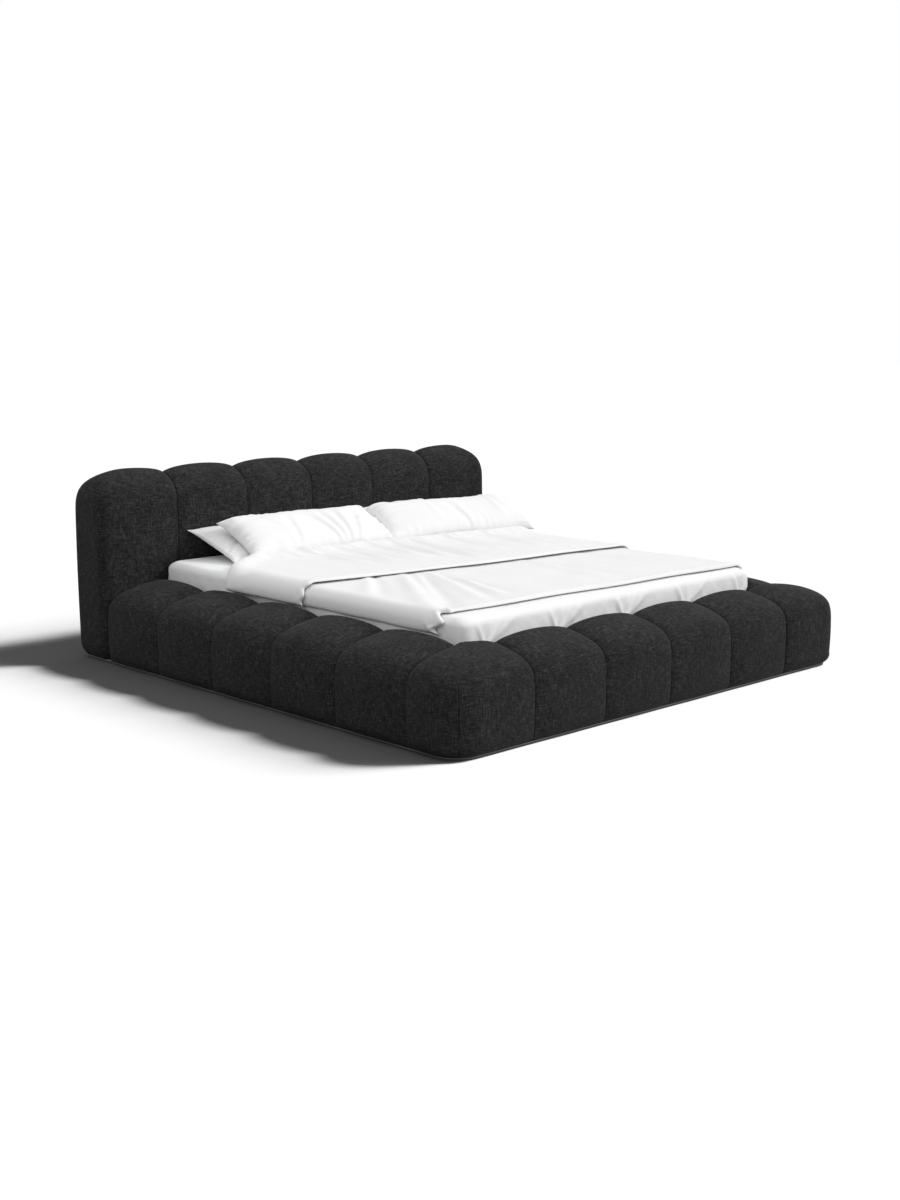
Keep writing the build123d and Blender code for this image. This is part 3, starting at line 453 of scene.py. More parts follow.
def row_pad(name, outline, thick, pitch):
    """A pad between two valleys: its outline swept along the row at s = sin t."""
    turn = np.linspace(-pi / 2, pi / 2, PAD_SAMPLES)
    along, full = np.sin(turn) * pitch / 2, np.cos(turn)
    out, up, inner_count = outline(full, thick)
    rows, columns = out.shape
    points = np.stack([np.broadcast_to(along[:, None], out.shape), -out, up], -1)
    faces = grid_faces(rows, columns, close_columns=True)[:, ::-1].tolist()
    faces += [list(range(columns)), [(rows - 1) * columns + c for c in range(columns)][::-1]]
    piece = mesh_piece(name, points, faces)
    step = np.hypot(np.diff(out, axis=1), np.diff(up, axis=1))
    up_cloth = np.concatenate([np.zeros((rows, 1)), np.cumsum(step, 1)], 1)
    sweep = np.hypot(np.diff(along), np.diff(full) * LOW_STAND[1])
    along_cloth = np.concatenate([[0], np.cumsum(sweep)])[:, None]
    cloth_coordinates(piece, np.broadcast_to(along_cloth, out.shape), up_cloth)
    column = np.tile(np.arange(columns), rows - 1)
    smooth = np.zeros(len(piece.data.polygons), bool)
    smooth[: len(column)] = column < columns - inner_count - 1
    piece.data.polygons.foreach_set("use_smooth", smooth)
    return piece


def placed(piece, turn, offset):
    """Moves a piece's mesh by a 2 x 2 turn and an offset in plan: p' = M p + d."""
    matrix = np.array(turn, float)
    co = np.empty(len(piece.data.vertices) * 3)
    piece.data.vertices.foreach_get("co", co)
    co = co.reshape(-1, 3)
    co[:, :2] = co[:, :2] @ matrix.T + offset
    piece.data.vertices.foreach_set("co", co.ravel())
    if np.linalg.det(matrix) < 0:
        piece.data.flip_normals()
    piece.data.update()
    return piece


def upholstered(piece, cad_node):
    """Dresses a pad in charcoal, fixes it to the base and lets it stand for its solid."""
    piece.data.materials.append(charcoal)
    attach(piece, "base")
    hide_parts(cad_node)
    return piece


print("a row pad follows its section at", PAD_SAMPLES, "places")

# %% The eighteen pads between the corners
AS_DRAWN = ((1, 0), (0, 1))
for number in range(2, 6):
    middle = LEFT_BASE + (number - 0.5) * LOBE
    pad = row_pad(f"foot_pad_{number}", low_outline, FOOT_THICK, LOBE)
    upholstered(placed(pad, AS_DRAWN, (middle, FOOT_BASE)), f"footboard_lobe_{number}")
    pad = row_pad(f"head_pad_{number}", head_outline, HEAD_THICK, LOBE)
    upholstered(placed(pad, AS_DRAWN, (middle, HEAD_BASE)), f"headboard_lobe_{number}")
for number in range(1, 6):
    middle = WELL_FOOT + (number - 0.5) * RAIL_PITCH
    for side, sign in (("left", 1), ("right", -1)):
        pad = row_pad(f"{side}_rail_pad_{number}", low_outline, RAIL_THICK, RAIL_PITCH)
        pad = placed(pad, ((0, sign), (-1, 0)), (sign * LEFT_BASE, middle))
        upholstered(pad, f"{side}_rail_lobe_{number}")
print("last row pad", pad.name, [round(v, 3) for v in pad.dimensions])

# %% [markdown]
# The corner pads turn the corner, so no sweep can make them. One way is to model a
# box and round it with bevels, but then its walls would not meet its neighbours'
# sections. Here a corner pad is everything that lies inside its outer walls, its
# rounded corner and its valley planes, which is a simple yes or no for any point.
# Rays from the pad's middle find where that answer changes by halving their step
# again and again, and the hits make a closed surface that meets its neighbours.


# %% A closed surface from rays
HALVINGS = 26


def halved(inside_at, far, shape):
    """Distance at which inside_at(distance) turns false, found by halving the gap."""
    low, high = np.zeros(shape), np.full(shape, far)
    for _ in range(HALVINGS):
        middle = (low + high) / 2
        hit = inside_at(middle)
        low, high = np.where(hit, middle, low), np.where(hit, high, middle)
    return low


def ray_pad(name, centre, inside, turns=176, lifts=120):
    """A closed surface round a centre: p = c + r(a, e) d(a, e), r found by halving."""
    turn = np.linspace(0, 2 * pi, turns, endpoint=False)
    a, e = np.meshgrid(turn, np.linspace(-pi / 2, pi / 2, lifts), indexing="ij")
    ray = np.stack([np.cos(e) * np.cos(a), np.cos(e) * np.sin(a), np.sin(e)], -1)
    reach = halved(lambda r: inside(*np.moveaxis(centre + ray * r[..., None], -1, 0)), far=1.2, shape=a.shape)
    points = centre + ray * reach[..., None]
    piece = mesh_piece(name, points, grid_faces(*a.shape, close_rows=True))
    level = np.linalg.norm(np.diff(points, axis=1), axis=2)
    v = np.concatenate([np.zeros((turns, 1)), np.cumsum(level, 1)], 1)
    ring = points[:, lifts // 2]
    around = np.linalg.norm(np.diff(ring, axis=0, append=ring[:1]), axis=1)
    u = np.concatenate([[0], np.cumsum(around)[:-1]])
    cloth_coordinates(piece, np.broadcast_to(u[:, None], v.shape), v)
    return piece


def smooth_step(x, low, high):
    """0 below low, 1 above high, and 3t^2 - 2t^3 between them."""
    t = np.clip((x - low) / (high - low), 0, 1)
    return t * t * (3 - 2 * t)


def valley_full(place, crest, valley):
    """sqrt(1 - s^2) from the crest of a pad to its valley, and 1 before the crest."""
    share = np.clip((place - crest) / (valley - crest), 0, 1)
    return np.sqrt(1 - share**2)


def inside_round_corner(p, q, radius):
    """Distances p and q inside two walls that meet in a rounded corner."""
    dp, dq = radius - np.minimum(p, radius), radius - np.minimum(q, radius)
    return (p > 0) & (q > 0) & (dp**2 + dq**2 <= radius**2)


print("fullness half way into a valley:", round(float(valley_full(0.3, 0.2, 0.4)), 3))

# %% What lies inside a corner pad
FOOT_ROUND = ([BASE_TOP, 0.06, 0.25, LOW_TOP], [0.11, 0.15, 0.15, 0.165])
HEAD_ROUND = ([BASE_TOP, 0.08, 0.72, HEAD_TOP], [0.05, 0.062, 0.062, 0.088])


def inside_foot_corner(x, y, z):
    """Left foot corner pad: x and y are distances from the left and foot base lines."""
    toward_row = valley_full(x, LOBE / 2, LOBE)
    toward_rail = valley_full(y, FOOT_THICK / 2, FOOT_THICK)
    foot = y + low_reach(z, toward_row, FOOT_THICK)
    left = x + low_reach(z, toward_rail, RAIL_THICK)
    crown = LOW_TOP - (LOW_TOP - LOW_VALLEY) * np.hypot(1 - toward_row, 1 - toward_rail)
    at_well = LOW_VALLEY + (LOW_TOP - LOW_VALLEY) * toward_row
    to_well = smooth_step(x, RAIL_THICK - 0.09, RAIL_THICK + 0.01)
    share = np.clip((z - WELL_EDGE) / (at_well - WELL_EDGE), 0, 1)
    back = CROWN_IN * (1 - np.sqrt(1 - share**2))
    solid = inside_round_corner(foot, left, np.interp(z, *FOOT_ROUND)) & (z > BASE_TOP)
    return solid & (x < LOBE) & (y < FOOT_THICK - back * to_well) & (z < crown + (at_well - crown) * to_well)


def inside_head_corner(x, y, z):
    """Left end pad of the headboard, x from its end and y from its front base line."""
    toward_row = valley_full(x, LOBE / 2, LOBE)
    radius = np.interp(z, *HEAD_ROUND)
    reach = head_reach(z, toward_row, HEAD_THICK)
    end = x + head_reach(z, np.ones_like(x), HEAD_THICK)
    front, back = y + reach, HEAD_THICK - y + reach
    top = HEAD_VALLEY + (HEAD_TOP - HEAD_VALLEY) * toward_row
    solid = inside_round_corner(front, end, radius) & inside_round_corner(back, end, radius)
    return solid & (z > BASE_TOP) & (x < LOBE) & (z < top)


print("corner radius of the foot at mid height:", float(np.interp(0.2, *FOOT_ROUND)))

# %% The four corner pads
corner_kinds = (
    ("foot", inside_foot_corner, (0.2, 0.12, 0.16), FOOT_BASE, "footboard_lobe"),
    ("head", inside_head_corner, (0.2, 0.1125, 0.44), HEAD_BASE, "headboard_lobe"),
)
for kind, inside, centre, base_y, cad_row in corner_kinds:
    for side, sign, number in (("left", 1, 1), ("right", -1, 6)):
        pad = ray_pad(f"{side}_{kind}_corner_pad", np.array(centre), inside)
        pad = placed(pad, ((sign, 0), (0, 1)), (sign * LEFT_BASE, base_y))
        upholstered(pad, f"{cad_row}_{number}")
        print(pad.name, [round(v, 3) for v in pad.dimensions])

# %% [markdown]
# The cover of a foot corner is closed by one upright seam that stops below the brow.
# It shows as a thin dark line with the stitches just to be seen. It could be a groove
# in the pad, but the pad's grid is too coarse for one. So it is a narrow near-black
# strip that lies on the cloth, the painted shade of the groove with faint stitches in
# it: the same halving finds the pad's surface along three neighbouring rays, and the middle one stands a touch
# further out.

# %% Near-black cloth of the seams: painted groove shade, with stitches
# Near black and without gloss: the strip paints the shade of the sewn groove, with faint stitches from a wave.
seam_groove_shade, seam_shader = material("seam_shadow", (0.004, 0.004, 0.004), 1.0)
seam_shader.inputs["Specular IOR Level"].default_value = 0
stitch_place = {"Vector": object_place(seam_groove_shade), "Scale": 70.0}
stitch = node(seam_groove_shade, "ShaderNodeTexWave", stitch_place, bands_direction="Z").outputs["Fac"]
drives(seam_groove_shade, ramp(seam_groove_shade, stitch, [(0.3, 0.003), (0.9, 0.012)]), seam_shader, "Base Color")
print("made", seam_groove_shade.name)

# %% Upright seams of the foot corners, as strips of painted groove shade
SEAM_AXIS, SEAM_OUT, SEAM_TURN = (0.12, 0.12), 0.17, radians(50)
SEAM_LOW, SEAM_TOP, SEAM_HALF = 0.014, 0.279, 0.0011
SEAM_LIFT = np.array([0.0002, 0.0007, 0.0002])


def seam_strip(inside, heights):
    """Points where rays from an upright axis leave the pad, at three neighbouring turns."""
    z, a = np.meshgrid(heights, SEAM_TURN + np.array([-1, 0, 1]) * SEAM_HALF / SEAM_OUT, indexing="ij")
    way_x, way_y = -np.cos(a), -np.sin(a)
    out = halved(lambda r: inside(SEAM_AXIS[0] + r * way_x, SEAM_AXIS[1] + r * way_y, z), far=0.5, shape=z.shape)
    out = out + SEAM_LIFT
    return np.stack([SEAM_AXIS[0] + out * way_x, SEAM_AXIS[1] + out * way_y, z], -1)


for side, sign in (("left", 1), ("right", -1)):
    strip = seam_strip(inside_foot_corner, np.linspace(SEAM_LOW, SEAM_TOP, 60))
    seam = mesh_piece(f"{side}_foot_corner_seam_shade", strip, grid_faces(60, 3)[:, ::-1])
    seam.data.materials.append(seam_groove_shade)
    placed(seam, ((sign, 0), (0, 1)), (sign * LEFT_BASE, FOOT_BASE))
    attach(seam, "base")
    print(seam.name, [round(v, 4) for v in seam.dimensions])

# %% [markdown]
# Bed linen is all small wrinkles. Blender could displace it with a texture, but then
# the mesh that is kept would hold no folds. So the wrinkles go into the points. Value
# noise joins random numbers on a lattice smoothly, a fold is a ridge of such noise,
# 1 - |2n - 1|, drawn out along the way the cloth is pulled, and a crease is one
# single wave beside a line that the photograph shows.

# %% Noise and folds
LATTICE = 64


def value_noise(u, v, seed):
    """Smooth noise from 0 to 1 on a lattice of random numbers one unit apart."""
    lattice = np.random.default_rng(seed).random((LATTICE, LATTICE))
    iu, iv = np.floor(u).astype(int), np.floor(v).astype(int)
    fu, fv = u - iu, v - iv
    fu, fv = fu * fu * (3 - 2 * fu), fv * fv * (3 - 2 * fv)

    def corner(du, dv):
        """The random number at one corner of the square that each point lies in."""
        return lattice[(iu + du) % LATTICE, (iv + dv) % LATTICE]

    low = corner(0, 0) * (1 - fu) + corner(1, 0) * fu
    high = corner(0, 1) * (1 - fu) + corner(1, 1) * fu
    return low * (1 - fv) + high * fv


def folds(u, v, angle, long, wide, seed, sharp=2.0):
    """Ridges about `wide` apart that run on for about `long` along an angle."""
    a = np.radians(angle)
    along, across = u * np.cos(a) + v * np.sin(a), -u * np.sin(a) + v * np.cos(a)
    bend = wide * 0.8 * value_noise(along / long + 9, across / long + 4, seed + 50)
    ridge = 1 - np.abs(2 * value_noise(along / long, (across + bend) / wide, seed) - 1)
    return ridge**sharp


print("a fold's height at one place:", folds(np.array([0.1]), np.array([0.2]), 30, 0.3, 0.05, 1).round(3))

# %% Creases beside a line
CREASE_GAIN = 2.33  # the square root of 2e, so that a crease of height h rises by h


def beside_line(x, y, start, end):
    """For each point, its share of the way along a line and its distance off it."""
    run_x, run_y = end[0] - start[0], end[1] - start[1]
    length = np.hypot(run_x, run_y)
    from_x, from_y = x - start[0], y - start[1]
    return (from_x * run_x + from_y * run_y) / length**2, (from_x * run_y - from_y * run_x) / length


def crease(x, y, start, end, width, height, fade_in, fade_out):
    """h sqrt(2e) (d / w) exp(-(d / w)^2), d off the line, faded at both ends."""
    along, off = beside_line(x, y, start, end)
    fade = smooth_step(along, *fade_in) * (1 - smooth_step(along, *fade_out))
    off = off / (width * (0.6 + 0.8 * np.clip(along, 0, 1)))
    return height * CREASE_GAIN * off * np.exp(-(off**2)) * fade


print("off a line from (0, 0) to (0, 1):", [float(v) for v in beside_line(0.1, 0.5, (0, 0), (0, 1))])

# %% [markdown]
# The linen is washed white cotton: nearly matt, a little uneven in tone, with a fine
# yarn and soft small creases. A pure white would burn out to a flat patch in the
# render, so its colour is an off-white and the rest is left to the light. The sheet
# is a shade paler than the duvet, and the mattress cover under it a shade darker.


# %% White linen, sheet and mattress cover
def linen_material(name, colour, patches):
    """Off-white with yarn and cloudy patches in tone, and fine creases as bump."""
    made, shader = material(name, colour, 0.86, Sheen_Weight=0.04, Sheen_Roughness=0.5)
    shader.inputs["Specular IOR Level"].default_value = 0.2
    place = object_place(made)
    yarn, patch = noise(made, place, 900, 2, 0.6), noise(made, place, patches, 3, 0.5)
    shaded = tuple(c * 0.965 for c in colour)
    tone = ramp(made, weighted(made, [(yarn, 0.35), (patch, 0.65)]), [(0.3, shaded), (0.7, colour)])
    drives(made, tone, shader, "Base Color")
    height = maths(made, "ADD", maths(made, "MULTIPLY", yarn, 0.15), noise(made, place, 60, 5, 0.55))
    bump(made, shader, height, 0.25, 0.004)
    return made


linen = linen_material("white_linen", (0.85, 0.85, 0.855), 7)
sheet_linen = linen_material("white_sheet", (0.9, 0.9, 0.905), 5)
ticking = linen_material("mattress_ticking", (0.78, 0.78, 0.76), 12)
print("made", linen.name, sheet_linen.name, ticking.name)

# %% [markdown]
# The mattress is a foam block with rounded corners and a soft top edge. A cube with a
# bevel would do for it, but the sheet has to follow the same form with folds in it,
# so both are made as rings: up the wall, over the edge in a quarter circle, and in
# over the top to the middle. The mattress itself is only seen from below, through
# the slats, when the platform is up.

# %% Rings of a rounded block
PLAN_CORNER = 0.045
mattress_low, mattress_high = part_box("mattress")
sheet_low, sheet_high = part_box("fitted_sheet")
BED_TOP, HALF_BED = sheet_high.z, sheet_high.x


def rounded_plan(half_x, half_y, radius, count):
    """Points round a rectangle with round corners, evenly spaced along its outline."""
    straight_x, straight_y, quarter = 2 * (half_x - radius), 2 * (half_y - radius), radius * pi / 2
    s = np.arange(count) / count * (2 * (straight_x + straight_y) + 4 * quarter)
    points = np.zeros((count, 2))
    corners = [(1, -1, -pi / 2), (1, 1, 0), (-1, 1, pi / 2), (-1, -1, pi)]
    sides = [(-half_x + radius, -half_y, 1, 0, straight_x), (half_x, -half_y + radius, 0, 1, straight_y)]
    sides += [(half_x - radius, half_y, -1, 0, straight_x), (-half_x, half_y - radius, 0, -1, straight_y)]
    start = 0
    for (x, y, dx, dy, length), (cx, cy, angle) in zip(sides, corners):
        on = (s >= start) & (s < start + length)
        points[on] = np.stack([x + dx * (s[on] - start), y + dy * (s[on] - start)], -1)
        start += length
        on = (s >= start) & (s < start + quarter)
        turn = angle + (s[on] - start) / radius
        x, y = cx * (half_x - radius), cy * (half_y - radius)
        points[on] = np.stack([x + radius * np.cos(turn), y + radius * np.sin(turn)], -1)
        start += quarter
    return points


def block_rings(low, high, edge, count=520, wall=16, over=10, top=34):
    """Rings of a block, up its wall, over its edge and in, and the way out of its plan."""
    centre = ((low.x + high.x) / 2, (low.y + high.y) / 2)
    half = np.array([(high.x - low.x) / 2, (high.y - low.y) / 2])
    outline = rounded_plan(*half, PLAN_CORNER, count)
    rings = [(0, z, 1) for z in np.linspace(low.z, high.z - edge, wall, endpoint=False)]
    quarter = np.linspace(0, pi / 2, over)
    rings += [(edge * (1 - cos(angle)), high.z - edge + edge * sin(angle), 1) for angle in quarter]
    rings += [(edge, high.z, share) for share in np.linspace(1, 0, top)[1:]]
    points = np.zeros((len(rings), count, 3))
    for row, (inset, z, share) in enumerate(rings):
        points[row, :, :2] = outline * ((half - inset) / half) * share + centre
        points[row, :, 2] = z
    return points, outline / np.linalg.norm(outline / half, axis=1, keepdims=True)


print("mattress", [round(v, 3) for v in (*mattress_low, *mattress_high)], "top of the sheet", round(BED_TOP, 4))

# %% The mattress
MATTRESS_EDGE, SHEET_EDGE = 0.03, 0.034
rings, _ = block_rings(mattress_low, mattress_high, MATTRESS_EDGE)
ring_faces = grid_faces(*rings.shape[:2], close_columns=True).tolist()
mattress = mesh_piece("mattress_block", rings, ring_faces + [list(range(rings.shape[1]))[::-1]])
mattress.data.materials.append(ticking)
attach(mattress, "platform")
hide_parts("mattress")
print("mattress", [round(v, 3) for v in mattress.dimensions])

# %% [markdown]
# The fitted sheet is cotton with elastic in its hem, so it lies smooth on top and is
# pulled into slanting folds down its walls. At the foot, where it is tucked behind
# the pads, small folds fan up from each valley between two pads. A stretched cloth
# could be simulated, but the folds would fall where they like. So the pulls are
# drawn where the photograph has them. They only ever stand outwards, because a fold
# that went inwards would let the mattress show through. Under the lift strap and at
# the mattress stops the sheet lies flat.

# %% Folds that stand out from the sheet
PULL_ASIDE, PULL_FROM, PULL_RISE, PULL_HEIGHT = 0.01, 0.32, 0.12, 0.0085
PULL_LEANS = ((0.05, 0.009), (0.11, 0.011), (0.19, 0.013), (-0.05, 0.01))


def foot_pulls(x, z):
    """Folds that fan up the foot face from the pads' valleys: ridges exp(-(d / w)^2)."""
    total = np.zeros_like(x)
    for valley in (-0.8, -0.4, 0.0, 0.4, 0.8):
        start = (valley + PULL_ASIDE, PULL_FROM)
        for lean, width in PULL_LEANS:
            along, off = beside_line(x, z, start, (start[0] + lean, PULL_FROM + PULL_RISE))
            fade = smooth_step(along, -0.3, 0.1) * (1 - smooth_step(along, 0.5, 1.0))
            total += PULL_HEIGHT * np.exp(-((off / (width * (0.6 + along.clip(0, 1)))) ** 2)) * fade
    return total


def free_to_fold(x, y, z):
    """0 under the lift strap and at the mattress stops, and 1 away from them."""
    beside_strap, above_strap = smooth_step(np.abs(x), 0.024, 0.05), smooth_step(z, 0.297, 0.315)
    at_foot = np.where(y < 0, np.maximum(beside_strap, above_strap), 1)
    return at_foot * np.where(y > sheet_high.y - 0.02, smooth_step(z, 0.285, 0.31), 1)


print("height of a pull at its valley:", foot_pulls(np.array([0.41]), np.array([0.35])).round(4))

# %% The fitted sheet
points, outward = block_rings(sheet_low, sheet_high, SHEET_EDGE, count=1440, top=22)
x, y, z = (points[..., axis].copy() for axis in range(3))
drop = np.clip((sheet_high.z - z) / (sheet_high.z - sheet_low.z), 0, 1)
on_ends = np.abs(y - (sheet_low.y + sheet_high.y) / 2) > (sheet_high.y - sheet_low.y) / 2 - 0.05
side = x * on_ends + y
pulls = 0.6 * folds(side, z, 52, 0.22, 0.05, 3, 2.5) + 0.4 * folds(side, z, 128, 0.2, 0.06, 4, 2.5)
stand = 0.005 * pulls * smooth_step(drop, 0.03, 0.3) + foot_pulls(x, z) * (y < sheet_low.y + 0.02)
stand = stand * free_to_fold(x, y, z)
points[..., :2] += stand[..., None] * outward[None]
points[..., 2] += 0.002 * folds(x, y, 35, 0.4, 0.09, 7) * (1 - smooth_step(drop, 0.0, 0.03))
sheet = mesh_piece("sheet_cover", points, grid_faces(*x.shape, close_columns=True))
sheet.data.materials.append(sheet_linen)
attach(sheet, "platform")
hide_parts("fitted_sheet")
print("folds stand out by up to", round(float(stand.max()) * 1000, 1), "mm")

# %% [markdown]
# The duvet lies over the sheet and hangs a little way down both sides, tucked behind
# the rails. Its head end is folded back over it as a second layer. A simulation would
# drape it well, but its edges would not end where the photograph shows them. So each
# layer is a closed soft shell on an arch: one parameter runs across the bed, up one
# side, over and down the other, and one runs from the head to the foot. The lower
# face lies on the arch, and the upper one stands off it by the thickness and the
# wrinkles, which both run out softly at the hems.


# %% An arch over the bed
DUVET_GRID, DUVET_CROWDING = (288, 172), (0.3, 0.6)


def arch(w, half, top, hem, radius):
    """Place (x, z) and way outward at length w along an arch from its left hem."""
    wall = top - radius - hem
    quarter, flat = radius * pi / 2, 2 * (half - radius)
    x, z = np.zeros_like(w), np.zeros_like(w)
    nx, nz = np.zeros_like(w), np.ones_like(w)
    marks = np.cumsum([wall, quarter, flat, quarter, wall])
    on = w <= marks[0]
    x[on], z[on], nx[on], nz[on] = -half, hem + w[on], -1, 0
    on = (w > marks[0]) & (w <= marks[1])
    turn = (w[on] - marks[0]) / radius
    x[on], z[on] = -half + radius * (1 - np.cos(turn)), top - radius + radius * np.sin(turn)
    nx[on], nz[on] = -np.cos(turn), np.sin(turn)
    on = (w > marks[1]) & (w <= marks[2])
    x[on], z[on] = -half + radius + w[on] - marks[1], top
    on = (w > marks[2]) & (w <= marks[3])
    turn = (w[on] - marks[2]) / radius
    x[on], z[on] = half - radius + radius * np.sin(turn), top - radius + radius * np.cos(turn)
    nx[on], nz[on] = np.sin(turn), np.cos(turn)
    on = w > marks[3]
    x[on], z[on], nx[on], nz[on] = half, top - radius - (w[on] - marks[3]), 1, 0
    return x, z, nx, nz, marks[-1]


def crowded(count, share):
    """Places from 0 to 1 that lie closer together at both ends: t - a sin(2 pi t) / (2 pi)."""
    t = np.linspace(0, 1, count)
    return t - share * np.sin(2 * pi * t) / (2 * pi)


steps = np.diff(crowded(DUVET_GRID[0], DUVET_CROWDING[0]))
print("steps at a hem and in the middle:", steps[0].round(5), steps[len(steps) // 2].round(5))

# %% A soft closed layer
HEM_SOFT, HEM_SHARE, LEAST_THICK = 0.03, 0.3, 0.004
LIP_THIN, LIP_FOOT, LIP_FADE = 0.0005, 0.0055, (0.004, 0.05)
SWAY_DIES = 0.12


def soft_edge(distance):
    """Rises from 0 at a hem to 1 inside it, as a quarter circle."""
    share = np.clip(distance / HEM_SOFT, 0, 1)
    return np.sqrt(share * (2 - share))


def joined(upper, lower, rim_outward):
    """The points of two grids, and the faces of both with a rim that closes them."""
    rows, columns = upper.shape[:2]
    quads, size = grid_faces(rows, columns), rows * columns
    ring = list(range(columns)) + [r * columns + columns - 1 for r in range(1, rows)]
    ring += [(rows - 1) * columns + c for c in range(columns - 2, -1, -1)]
    ring += [r * columns for r in range(rows - 2, 0, -1)]
    ring = np.array(ring)
    after = np.roll(ring, -1)
    rim = np.stack([ring, ring + size, after + size, after], -1)
    if rim_outward:
        rim = rim[::-1, [2, 1, 0, 3]]  # turned round about the same diagonals
    faces = np.concatenate([quads[:, ::-1], quads + size, rim])
    return np.concatenate([upper.reshape(-1, 3), lower.reshape(-1, 3)]), faces


def duvet_layer(name, gap, thick, hem, edges, sways, wrinkles):
    """A closed soft layer: lower face on the arch, upper face thick above it."""
    (columns, rows), (crowd_x, crowd_y) = DUVET_GRID, DUVET_CROWDING
    half, top, radius = HALF_BED + gap, BED_TOP + gap, SHEET_EDGE + gap
    length = arch(np.array([0.0]), half, top, hem, radius)[4]
    w = length * crowded(columns, crowd_x)[None, :] + np.zeros((rows, 1))
    q = crowded(rows, crowd_y)[:, None] + np.zeros((1, columns))
    x, z, nx, nz, _ = arch(w, half, top, hem, radius)
    y_head, y_foot = edges[0](x), edges[1](x) + sways[1](w)
    y = y_head + (y_foot - y_head) * q
    edge = soft_edge(w) * soft_edge(length - w) * soft_edge(y_head - y) * soft_edge(y - y_foot)
    lip = LIP_THIN + LIP_FOOT * (1 - smooth_step(y - y_foot, *LIP_FADE))
    body = thick * (HEM_SHARE + (1 - HEM_SHARE) * edge) + wrinkles(x, y, w, y_head - y) * edge
    body = np.maximum(body, LEAST_THICK) + lip
    z = z - sways[0](y) * (1 - smooth_step(w, 0, SWAY_DIES)) * (nz < 0.5)
    upper = np.stack([x + nx * body, y, z + nz * body], -1)
    lower = np.stack([x + nx * lip, y, z + nz * lip], -1)
    piece = mesh_piece(name, *joined(upper, lower, rim_outward=True))
    piece.data.materials.append(linen)
    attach(piece, "platform")
    return piece


print("length across a duvet:", round(arch(np.array([0.0]), HALF_BED, BED_TOP, 0.37, SHEET_EDGE)[4], 3))

# %% [markdown]
# Where the duvet begins and ends, and where its longer creases run, was read from the
# photograph through the camera: each place is a distance in front of the headboard at
# an x across the bed. Straight lines between a few such places are enough, since the
# hems are soft. The creases come off the fold like rays, because the duvet was drawn
# up by its head end.


# %% Edges of the duvet and of its fold
def reach_y(distance):
    """y at a distance in front of the headboard."""
    return WELL_HEAD - distance


def duvet_head(x):
    """The head edge: it slants forward down the left side and away to the right."""
    places, distances = [-1.2, -0.93, -0.62, -0.56, 0.12, 1.2], [0.56, 0.55, 0.315, 0.36, 0.408, 0.575]
    return reach_y(np.interp(x, places, distances))


def duvet_foot(x):
    """The foot edge, nearly square to the bed."""
    return reach_y(np.interp(x, [-1.2, 1.2], [1.868, 1.958]) + 0.006 * np.sin(9 * x + 1))


def fold_head(x):
    """The fold's head edge, 4 mm closer to the foot end than the duvet's."""
    return duvet_head(x) - 0.004


def fold_foot(x):
    """The edge of the part that is folded back, closer to the foot end on the right."""
    places = [-1.2, -0.93, -0.56, -0.04, 0.47, 0.8, 1.2]
    distances = [1.05, 1.075, 1.132, 1.205, 1.236, 1.268, 1.29]
    return reach_y(np.interp(x, places, distances) + 0.003 * np.sin(9 * x))


def hem_sway(y):
    """Waves of the side hems, in metres."""
    return 0.0015 * np.sin(7 * y) + 0.001 * np.sin(17 * y + 1)


def crumpled_end(w):
    """Crumpled foot edge on the left side: a wave that dies out over the bed's edge."""
    return 0.022 * np.sin(2 * pi * w / 0.062) * (1 - smooth_step(w, 0.07, 0.13))


def wavy_end(w):
    """The same for the fold, much fainter."""
    return 0.007 * np.sin(2 * pi * w / 0.055) * (1 - smooth_step(w, 0.06, 0.12))


print("the fold is", round(float(duvet_head(0.0) - fold_foot(0.0)), 3), "m deep in the middle")

# %% Wrinkles of the duvet and of its fold
DUVET_CREASES = [
    ((-0.550, 1.065), (-0.878, 1.475), 0.035, 0.0045),
    ((-0.438, 1.172), (-0.944, 1.947), 0.05, 0.008),
    ((-0.400, 1.209), (-0.780, 1.785), 0.03, 0.005),
    ((-0.319, 1.211), (-0.594, 1.856), 0.04, 0.0065),
    ((-0.320, 1.395), (-0.444, 1.793), 0.03, 0.004),
    ((0.244, 1.228), (0.202, 1.821), 0.05, 0.005),
    ((0.62, 1.30), (0.72, 1.90), 0.06, 0.004),
]
FOLD_CREASES = [
    ((-0.574, 0.274), (-0.420, 0.593), 0.03, 0.004),
    ((-0.397, 0.265), (-0.369, 0.929), 0.035, 0.005),
    ((-0.197, 0.318), (-0.230, 0.900), 0.03, 0.0045),
    ((-0.022, 0.296), (-0.046, 0.908), 0.035, 0.005),
    ((0.114, 0.377), (0.036, 1.029), 0.03, 0.004),
    ((0.214, 0.472), (0.140, 1.086), 0.03, 0.0045),
    ((0.423, 0.473), (0.397, 0.978), 0.035, 0.0045),
    ((0.66, 0.52), (0.60, 1.05), 0.04, 0.004),
]


def cloth_creases(x, y, lines):
    """All creases of a layer, each from (x, distance) to (x, distance)."""
    total = np.zeros_like(x)
    for (x0, far0), (x1, far1), width, height in lines:
        ends = (x0, reach_y(far0)), (x1, reach_y(far1))
        total += crease(x, y, *ends, width, height, (-0.15, 0.2), (0.75, 1.12))
    return total


def swell(x, y, height, scale, offset, seed):
    """Faint undulation about zero: value noise, scaled and offset on each axis."""
    return height * (value_noise(x * scale[0] + offset[0], y * scale[1] + offset[1], seed) - 0.5)


def bell(u, v=0):
    """1 at a place and fading away from it on all sides: exp(-(u^2 + v^2))."""
    return np.exp(-(u**2 + v**2))


print("creases", len(DUVET_CREASES), "and", len(FOLD_CREASES))

# %% All that stands up from each layer
DUVET_GAIN, FOLD_GAIN = 1.25, 2.2
SIDE_FLAT = (0.06, 0.14)


